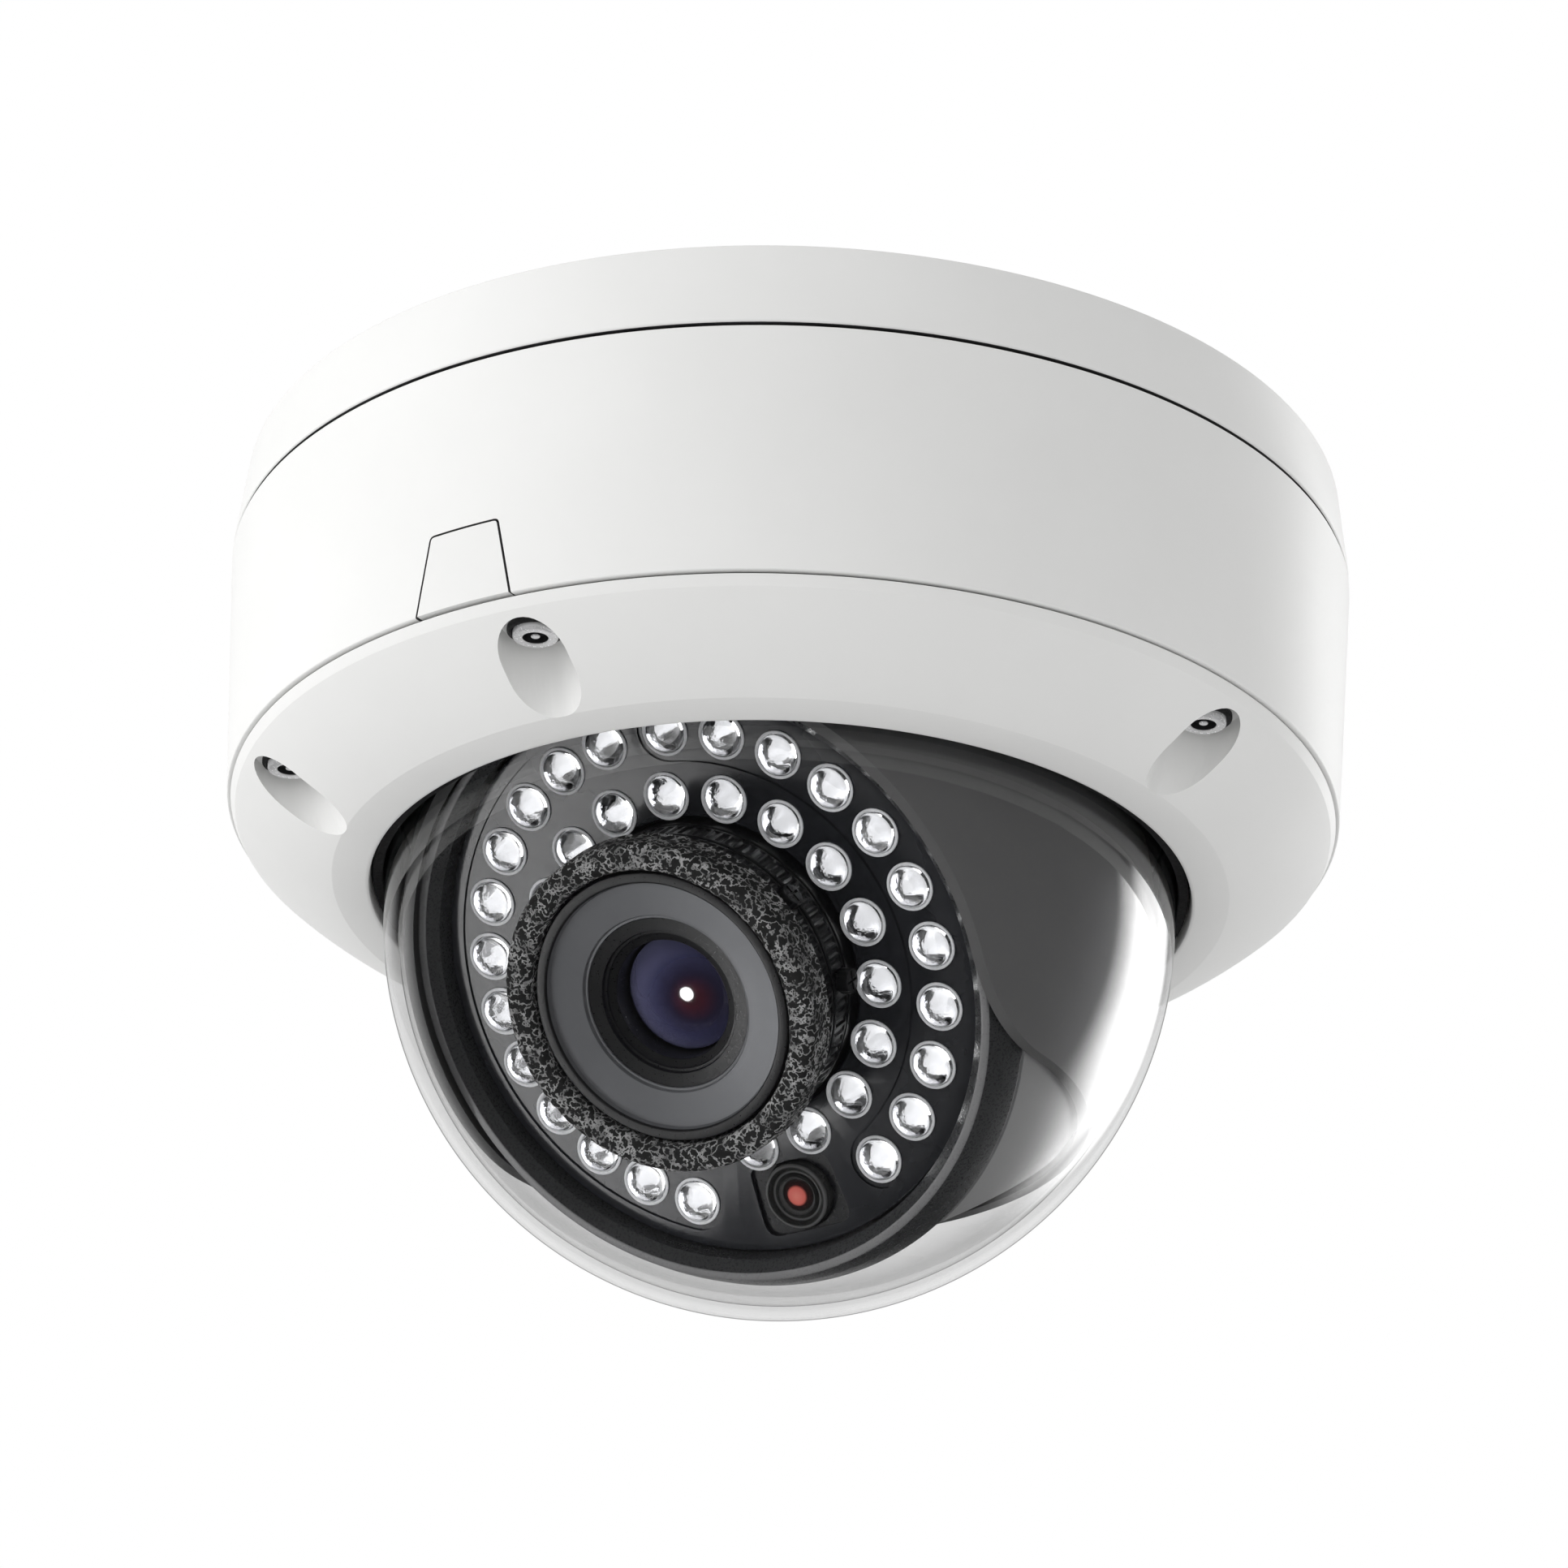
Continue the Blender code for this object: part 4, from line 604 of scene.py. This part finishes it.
def make_cover():
    face = bulged((67.7, -45.0), (55.3, -53.4), 0.6, 14)
    top, groove = COVER_TOP, COVER_TOP - 1.2
    outline = [(54.6, top, 0.2), (55.8, top), (55.8, groove), (57.4, groove), (57.4, top), (67.6, top)]
    outline += [(68.4, top, 0.15)]
    outline += [(face[0][0], face[0][1], 0.15), *face[1:-1], (face[-1][0], face[-1][1], 0.7)]
    outline += [(50.6, -54.3, 0.5), (50.6, -49.4, 0.2), (54.6, -49.4)]
    ring = turned(outline)
    spots = [at_azimuth(SCREW_CIRCLE, azimuth) for azimuth in SCREW_AZIMUTHS]
    pockets = [pocket(azimuth) for azimuth in SCREW_AZIMUTHS]
    ring = combined(ring, "DIFFERENCE", *pockets, rods(1.8, -45.6, -42, spots))
    # Painted shade: the cover's top face, at its seam with the housing, takes the grey seam finish.
    darken(ring, lambda middle, normal: middle.z > COVER_TOP - 0.15 and middle.xy.length < 67.6)
    place("cover_ring", ring, "housing", ["dome_cover"], [paint, seam_shade_grey])
    for i, spot in enumerate(spots):
        seat = Matrix.Translation(Vector((spot.x, spot.y, SCREW_SEAT - 0.3)) * MM)
        upside_down = seat @ Matrix.Rotation(math.pi, 4, "X")
        place(f"cover_fixing_{i + 1}", screw_shape(2.75, 1.6, 1.4, 8.0, 0.55, 3.45), "housing",
              [f"cover_screw_{i + 1}"], [screw_bright, rubber], upside_down)


def make_bubble():
    z = PIVOT.z
    outline = arc(DOME_OUTER, -90, 0, 72, (0, z))
    outline += [(DOME_OUTER, -47.8), (54, -47.8), (54, -46.0), (DOME_INNER, -46.0)]
    outline += arc(DOME_INNER, 0, -90, 72, (0, z))
    outline[0], outline[-1] = (0.0, outline[0][1]), (0.0, outline[-1][1])
    shell = turned(outline)
    for f in shell.faces:
        f.material_index = int((f.calc_center_median() / MM - PIVOT).length < (DOME_INNER + DOME_OUTER) / 2)
    bubble = place("bubble", shell, "housing", ["dome_bubble"], [clear_outer, clear_inner])
    bubble.visible_shadow = False
    skirt = turned([(49, -48.1), (54, -48.1), (54, -49.1), (50.3, -49.1), (50.3, -53.2, 0.4),
                    (49, -53.2, 0.3)])
    place("gasket", skirt, "housing", ["bubble_gasket"], rubber)


# ---------------------------------------------------------------- turning parts


def make_shroud():
    shell = sphere_run(46.3, SHROUD_BOTTOM, SHROUD_TOP, 40) + sphere_run(45.1, SHROUD_TOP, SHROUD_BOTTOM, 40)
    angle = math.degrees(TILT_AT_REST)
    direction = Vector((math.sin(TILT_AT_REST), math.cos(TILT_AT_REST)))
    foot = Vector((SHROUD_FRONT / math.cos(TILT_AT_REST), 0))
    corner = foot + direction * (SHROUD_BOTTOM / direction.y)
    tangent = SHROUD_CORNER * math.tan((math.pi / 2 - TILT_AT_REST) / 2)
    centre = (corner.x - tangent, SHROUD_BOTTOM + SHROUD_CORNER)
    points = arc(SHROUD_CORNER, -90, -angle, 24, centre)
    cut_top = 20
    top = foot + direction * (cut_top / direction.y)
    front = prism(points + [tuple(top), (70, top.y), (70, -70), (points[0][0], -70)], -60, 60)
    moved(front, Matrix(((0, 0, 1, 0), (-1, 0, 0, 0), (0, 1, 0, 0), (0, 0, 0, 1))))
    shroud = combined(turned(shell), "DIFFERENCE", front)
    place("shroud", shroud, "pan_carriage", ["side_shroud"], shroud_plastic, pan_matrix)
    disc = turned([(8.3, -18.2 - PIVOT.z, 0.3), (44, -18.2 - PIVOT.z, 0.6), (44, -15.7 - PIVOT.z, 0.6),
                   (8.3, -15.7 - PIVOT.z, 0.3)])
    place("turning_plate", disc, "pan_carriage", ["turntable"], dark_plastic, pan_matrix)


def clip(bm, point, normal):
    geometry = bm.verts[:] + bm.edges[:] + bm.faces[:]
    cut = bmesh.ops.bisect_plane(bm, geom=geometry, plane_co=Vector(point) * MM, plane_no=normal,
                                 clear_outer=True)
    bmesh.ops.contextual_create(bm, geom=[e for e in cut["geom_cut"] if isinstance(e, bmesh.types.BMEdge)])


def ball_solid(inset, back, front, top):
    bm = turned([(0.0, back)] + sphere_run(BALL_RADIUS - inset, back, front, 40) + [(0.0, front)])
    for side in (-1, 1):
        clip(bm, (side * (40.4 - inset), 0, 0), (side, 0, 0))
    clip(bm, (0, -37.0 + inset, 0), (0, -1, 0))
    clip(bm, (0, top, 0), (0, 1, 0))
    return bm


def make_eyeball():
    pins = moved(rods(2.3, -50, 50, [(0, 0)]), Matrix.Rotation(math.pi / 2, 4, "Y"))
    shell = combined(ball_solid(0, -14, 16.8, 20), "DIFFERENCE", ball_solid(1.8, -22, 24.8, 28), pins)
    place("eyeball", shell, "eyeball", ["eyeball_shell"], ball_plastic, lens_matrix)
    bezel = turned([(36.2, 17.1), (40.97, 17.1, 0.15), (39.9, 19.5, 0.4), (38.5, 22.1, 0.35),
                    (37.6, 22.1, 0.3), (36.2, 20.8, 0.2)])
    # Painted highlight: the bezel's front rim faces, above z 21.85, take the lighter grey.
    darken(bezel, lambda middle, normal: middle.z > 21.85)
    place("bezel", bezel, "eyeball", ["eyeball_bezel"], [bezel_plastic, bezel_rim_highlight],
          lens_matrix)


# ---------------------------------------------------------------- light panel


def led_spots():
    spots = []
    for start, pitch, count in OUTER_ARCS:
        spots += [on_circle(OUTER_RING, start + pitch * i) for i in range(count)]
    return spots + [on_circle(INNER_RING, INNER_PHASE + 360 / INNER_COUNT * i) for i in range(INNER_COUNT)]


def banana(middle, half_width, start, end, steps=48):
    """The outline of a band along an arc, with round ends."""
    outline = arc(middle + half_width, start, end, steps)
    outline += arc(half_width, end, end + 180, 12, on_circle(middle, end))[1:-1]
    outline += arc(middle - half_width, end, start, steps)
    return outline + arc(half_width, start + 180, start + 360, 12, on_circle(middle, start))[1:-1]


def make_panel():
    front, back = PANEL_FRONT, PANEL_BACK
    face = turned([(19.7, back), (35.9, back), (35.9, front, 0.25), (19.7, front, 0.3)])
    for start, pitch, count in OUTER_ARCS:
        band = banana(OUTER_RING, 3.75, start, start + pitch * (count - 1))
        face = combined(face, "DIFFERENCE", prism(band, front - 0.28, front + 1))
    eye = on_circle(*SENSOR_AT)
    patch = rounded([(-6.2, -4.6, 2.0), (6.2, -4.6, 2.0), (5.6, 4.4, 1.4), (-5.6, 4.4, 1.4)])
    patch = prism([(x + eye.x, y + eye.y) for x, y in patch], front - 0.55, front + 1)
    face = combined(face, "DIFFERENCE", patch)
    holes = rods(LED_HOLE_RADIUS, back - 1, front + 1, led_spots())
    face = combined(face, "DIFFERENCE", holes, rods(4.5, back - 1, front + 1, [eye]))
    for f in face.faces:
        middle = f.calc_center_median() / MM
        if middle.z < front - 0.4 and abs(f.normal.z) > 0.9 and f.normal.z > 0:
            f.material_index = 1
    place("panel", face, "lens_module", ["ir_panel"], [panel_plastic, panel_recess],
          lens_matrix)

    board = turned([(19.7, 13.0), (34.8, 13.0), (34.8, 14.6), (19.7, 14.6)])
    place("led_board", board, "lens_module", ["ir_led_board"], led_board_mask, lens_matrix)
    cups, dies, domes, rims = bmesh.new(), bmesh.new(), bmesh.new(), bmesh.new()
    cup = rounded([(0, 14.9), (2.75, 14.9), (2.75, 18.1, 0.1), (2.62, 18.1, 0.05), (1.9, 16.7), (0.8, 15.8),
                   (0, 15.8)])
    chip = rounded([(0, 15.85), (0.55, 15.85), (0.5, 16.2, 0.05), (0.2, 16.3), (0, 16.3)])
    crown = [(2.6 * math.cos(math.radians(a)), 18.15 + 1.95 * math.sin(math.radians(a)))
             for a in range(0, 90, 9)]
    dome = [(0, 18.15)] + crown + [(0, 20.1)]
    rim = rounded([(2.68, 18.0), (2.85, 18.0), (2.85, 18.62), (3.05, 18.62, 0.05), (3.05, 18.85, 0.12),
                   (2.68, 18.85, 0.12)], 3)
    for spot in led_spots():
        lathe(cups, cup, 20, spot)
        lathe(dies, chip, 4, spot)
        lathe(domes, dome, 28, spot)
        drop = 0.28 if spot.length > 26 else 0
        lathe(rims, [(r, z - drop) for r, z in rim], 32, spot)
    place("led_cups", cups, "lens_module", ["ir_led_board"], chrome, lens_matrix, sharp=25)
    place("led_chips", dies, "lens_module", ["ir_led_board"], chip_black, lens_matrix)
    place("led_rims", rims, "lens_module", ["ir_led_board"], led_rim, lens_matrix)
    clear = place("led_domes", domes, "lens_module", ["ir_led_board"], led_clear, lens_matrix)
    clear.visible_shadow = False

    sensor = turned([(0, 14.9), (4.2, 14.9), (4.2, 19.3, 0.25), (3.6, 19.6, 0.1), (3.3, 19.0, 0.1),
                     (2.9, 18.9), (2.7, 19.15, 0.1), (2.4, 19.1), (2.2, 18.7), (1.7, 18.6), (1.5, 18.95, 0.1),
                     (1.1, 19.1, 0.2), (0, 19.3)], 64)
    place("sensor_window", sensor, "lens_module", ["light_sensor"], sensor_eye,
          lens_matrix @ Matrix.Translation((*eye * MM, 0)))


# ---------------------------------------------------------------- lens


def knurl(low, high):
    def wave(r, z, step):
        return r - 0.22 if r > 19 and low + 0.5 < z < high - 0.5 and step % 4 >= 2 else r
    return wave


def lens_ring(name, low, high, angle):
    grip = [(19.2, low + 0.45), (19.2, low + 0.6), (19.2, high - 0.6), (19.2, high - 0.45)]
    ring = turned([(16.7, low), (19.2, low, 0.2), *grip, (19.2, high, 0.2), (16.7, high)], 384,
                  wave=knurl(low, high))
    middle = (low + high) / 2
    outward = Matrix.Rotation(math.radians(angle), 4, "Z") @ Matrix.Rotation(math.pi / 2, 4, "Y")
    stand = Matrix.Translation((0, 0, middle * MM)) @ outward
    ring = combined(ring, "DIFFERENCE", moved(rods(1.2, 14.7, 21.2, [(0, 0)]), stand))
    place(f"{name}_grip", ring, f"{name}_control", [f"{name}_ring"], barrel_black, lens_matrix)
    head = turned([(0, -2.2), (0.9, -2.2), (0.9, 0), (1.6, 0, 0.1), (1.6, 1.4, 0.25), (0, 1.4)], 48,
                  wave=lambda r, z, step: r - 0.09 if r > 1.5 and step % 4 >= 2 else r)
    cross = [prism([(-1.2, -0.17), (1.2, -0.17), (1.2, 0.17), (-1.2, 0.17)], 1.0, 2),
             prism([(-0.17, -1.2), (0.17, -1.2), (0.17, 1.2), (-0.17, 1.2)], 1.0, 2)]
    head = combined(head, "DIFFERENCE", *cross)
    place(f"{name}_thumb_screw", head, f"{name}_control", [f"{name}_lock_screw"], barrel_black,
          lens_matrix @ stand @ Matrix.Translation((0, 0, 19.5 * MM)))


def make_lens():
    barrel = turned([(12.4, -3, 0.2), (14.3, -3, 0.3), (14.3, 14.9), (19.2, 14.9, 0.3), (19.2, 16.2, 0.2),
                     (18.9, 16.4), (18.9, 16.8), (19.2, 17.0, 0.2), (19.2, 20.1, 0.35), (16.4, 20.1),
                     (16.4, 28.2), (12.4, 28.2)])
    place("barrel", barrel, "lens_module", ["lens_barrel"], barrel_black, lens_matrix)
    lens_ring("zoom", 20.4, 24.0, -12)
    lens_ring("focus", 24.3, 28.2, 24)
    nose = turned([(7.5, 24.6), (12.1, 24.6), (12.1, 28.7), (16.9, 28.7), (16.9, 32.2, 0.15),
                   (15.6, 32.2, 0.3), (15.4, 31.4, 0.1), (11.2, 31.02, 0.1), (11.05, 30.6), (10.8, 30.6),
                   (10.7, 30.38, 0.1), (9.0, 30.22, 0.1), (8.9, 29.8), (8.6, 29.75), (8.5, 29.5, 0.1),
                   (7.5, 29.2, 0.2)])
    # Painted shade: the nose's outer lip beyond r 15.5 takes the black finish, standing for the shade between
    # the nose and the foam; its inner steps inside r 10.75 take the black finish too.
    darken(nose, lambda middle, normal: not 10.75 < middle.xy.length < 15.5)
    place("nose", nose, "lens_module", ["lens_nose"], [nose_grey, barrel_black], lens_matrix)

    outline = []
    corners = [(17.2, 28.7), (20.8, 28.7), (20.8, 33.6, 1.3), (17.2, 33.6, 1.5)]
    dense = rounded(corners, 8)
    for here, ahead in zip(dense, dense[1:] + dense[:1]):
        here, ahead = Vector(here), Vector(ahead)
        pieces = max(1, round((ahead - here).length / 0.35))
        outline += [tuple(here.lerp(ahead, i / pieces)) for i in range(pieces)]
    ring = lathe(bmesh.new(), outline, 360)
    bmesh.ops.recalc_face_normals(ring, faces=ring.faces)
    ring.normal_update()
    for vert in ring.verts:
        if vert.co.z > 29.0 * MM:
            lump = noise.noise(vert.co * 1500) * 0.11 + noise.noise(vert.co * 420) * 0.06 - 0.12
            vert.co += vert.normal * lump * MM
    place("foam", ring, "lens_module", ["foam_ring"], foam, lens_matrix, sharp=80)

    radius = 7.2 / math.sin(math.radians(42))
    cap = arc(radius, 48, 90, 24, (0, 29.05 - radius))
    cap[-1] = (0.0, cap[-1][1])
    glass = turned([(0, 24.8), (7.2, 24.8), (7.2, cap[0][1] - 0.1)] + cap)
    place("front_glass", glass, "lens_module", ["front_lens"], front_glass, lens_matrix)
    for name, low in (("zoom", 1.2), ("focus", 13.2)):
        cell = [(0, low)] + [(12 * t / 6, low + 0.8 * (t / 6) ** 2) for t in range(1, 7)]
        cell += [(12, low + 5.4)] + [(12 * t / 6, low + 6.2 - 0.8 * (t / 6) ** 2) for t in range(5, 0, -1)]
        place(f"{name}_glass", turned([*cell, (0, low + 6.2)], 96), f"{name}_optics",
              [f"{name}_lens_group"], inner_glass, lens_matrix)


# ---------------------------------------------------------------- carried-over CAD nodes


def dress_cad_nodes():
    finishes = {
        "main_board": main_green, "sensor_board": main_green, "network_header": ivory, "ir_cut_switch": ivory,
        "sd_card_slot": tin, "reset_switch": tin, "soc_heat_sink": aluminium, "chassis_plate": steel_sheet,
        "yoke_bracket": steel_sheet, "pan_retainer": dark_plastic, "cover_seal": rubber,
        "bubble_clamp_ring": dark_plastic, "reset_button": button_black, "module_frame": dark_plastic,
        "image_sensor": chip_black, "ir_cut_filter": filter_glass,
    }
    for name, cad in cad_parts.items():
        if cad.hide_render:
            continue
        material = finishes.get(name, screw_steel if "screw" in name else None)
        if material is None:
            raise ValueError(f"{name} has no finish")
        cad.data.materials.clear()
        cad.data.materials.append(material)


# ---------------------------------------------------------------- studio


def lobe(tree, value, start, end, height):
    """Rises smoothly from 0 to height as value goes from start to end."""
    made = node(tree, "ShaderNodeMapRange",
                {"Value": value, "From Min": start, "From Max": end, "To Min": 0.0,
                                             "To Max": height}, interpolation_type="SMOOTHSTEP")
    return made.outputs["Result"]


def total(tree, first, *others):
    for other in others:
        first = node(tree, "ShaderNodeMath", {0: first, 1: other}, operation="ADD").outputs[0]
    return first


def make_world():
    """A white studio. The background is white, and what lights is brighter from the left. What mirrors is
    dark in front, so that the dome stays clear, with a soft box at the right and brightness behind."""
    world = bpy.data.worlds.new("studio")
    world.use_nodes = True
    tree = world.node_tree
    tree.nodes.clear()
    way = node(tree, "ShaderNodeTexCoord").outputs["Generated"]
    part = node(tree, "ShaderNodeSeparateXYZ", {0: way})
    x, y = part.outputs["X"], part.outputs["Y"]
    flat = node(tree, "ShaderNodeVectorMath", {0: way, 1: (1.0, 1.0, 0.3)}, operation="MULTIPLY").outputs[0]
    flat = node(tree, "ShaderNodeVectorMath", {0: flat}, operation="NORMALIZE").outputs[0]
    box = node(tree, "ShaderNodeVectorMath", {0: flat, 1: SOFT_BOX}, operation="DOT_PRODUCT").outputs["Value"]
    lights = total(tree, lobe(tree, x, -0.25, -0.95, 1.3), lobe(tree, y, 0.0, 0.8, 0.5), 0.69)
    upper = lobe(tree, part.outputs["Z"], -0.35, 0.05, 1.0)
    window = node(tree, "ShaderNodeMath", {0: lobe(tree, box, 0.94, 0.99, 4.5), 1: upper},
                  operation="MULTIPLY").outputs[0]
    back = node(tree, "ShaderNodeVectorMath", {0: way, 1: BEHIND}, operation="DOT_PRODUCT").outputs["Value"]
    mirrors = total(tree, lobe(tree, back, 0.80, 0.96, 0.85), lobe(tree, back, 0.972, 0.994, -0.65), window,
                    0.02)
    inner = total(tree, lobe(tree, x, -0.1, -0.6, 2.4), lobe(tree, x, 0.3, 0.8, 3.2), 1.25)
    path = node(tree, "ShaderNodeLightPath")
    level = node(tree, "ShaderNodeMix", {0: path.outputs["Is Glossy Ray"], 2: lights, 3: mirrors}).outputs[0]
    level = node(tree, "ShaderNodeMix",
                 {0: path.outputs["Is Transmission Ray"], 2: level, 3: inner}).outputs[0]
    level = node(tree, "ShaderNodeMix", {0: path.outputs["Is Camera Ray"], 2: level, 3: 1.0}).outputs[0]
    sky = node(tree, "ShaderNodeBackground", {"Strength": level})
    sky.inputs["Color"].default_value = (1.0, 1.0, 1.0, 1.0)
    node(tree, "ShaderNodeOutputWorld", {"Surface": sky.outputs[0]})
    bpy.context.scene.world = world


def soft_light(name, location, size, power, target=(0.0, 0.0, -0.05), only=()):
    """A round soft light that the dome doesn't mirror; with only, it reaches those pieces alone."""
    light = bpy.data.lights.new(name, "AREA")
    light.shape = "DISK"
    light.size = size
    light.energy = power
    obj = bpy.data.objects.new(name, light)
    bpy.context.scene.collection.objects.link(obj)
    obj.location = location
    obj.rotation_euler = (Vector(target) - Vector(location)).to_track_quat("-Z", "Y").to_euler()
    obj.visible_camera = False
    if only:
        lit = bpy.data.collections.new(f"{name}_reaches")
        for piece in only:
            lit.objects.link(bpy.data.objects[piece])
        obj.light_linking.receiver_collection = lit
    else:
        obj.visible_glossy = False


def make_studio():
    make_world()
    soft_light("key_left", (-1.4, -0.5, 0.0), 0.9, 5)
    soft_light("panel_glow", (-0.265, -0.020, -0.240), 0.14, 0.17, (-0.02, -0.01, -0.07),
               ["panel", "bezel", "nose"])
    soft_light("lens_glint", (-0.27, -0.235, -0.44), 0.15, 1.4, (-0.012, -0.018, -0.076), ["front_glass"])
    floor = bmesh.new()
    bmesh.ops.create_grid(floor, x_segments=8, y_segments=8, size=40.0)
    mesh = bpy.data.meshes.new("floor")
    floor.to_mesh(mesh)
    floor.free()
    mesh.materials.append(grained("floor_paper", (0.80, 0.80, 0.80), (0.82, 0.82, 0.82), (0.7, 0.85), 300, 3,
                                  0.02))
    obj = bpy.data.objects.new("floor", mesh)
    obj.location = (0, 0, -1.6)
    obj.visible_glossy = obj.visible_transmission = False
    bpy.context.scene.collection.objects.link(obj)


def make_camera():
    data = bpy.data.cameras.new("photo_camera")
    data.lens = FOCAL_LENGTH
    data.sensor_width = SENSOR_WIDTH
    data.clip_start, data.clip_end = 0.01, 50.0
    camera = bpy.data.objects.new("photo_camera", data)
    bpy.context.scene.collection.objects.link(camera)
    ahead = Vector((0, math.cos(CAMERA_PITCH), math.sin(CAMERA_PITCH)))
    right, up = Vector((1, 0, 0)), Vector((0, -math.sin(CAMERA_PITCH), math.cos(CAMERA_PITCH)))
    across = right * math.cos(CAMERA_ROLL) + up * math.sin(CAMERA_ROLL)
    upward = up * math.cos(CAMERA_ROLL) - right * math.sin(CAMERA_ROLL)
    turn = Matrix((across, upward, -ahead)).transposed().to_4x4()
    camera.matrix_world = Matrix.Translation(CAMERA_AT) @ turn
    bpy.context.scene.camera = camera


make_base()
make_housing()
make_cover()
make_bubble()
make_shroud()
make_eyeball()
make_panel()
make_lens()
dress_cad_nodes()
make_studio()
make_camera()
bpy.context.scene.view_settings.view_transform = "Standard"
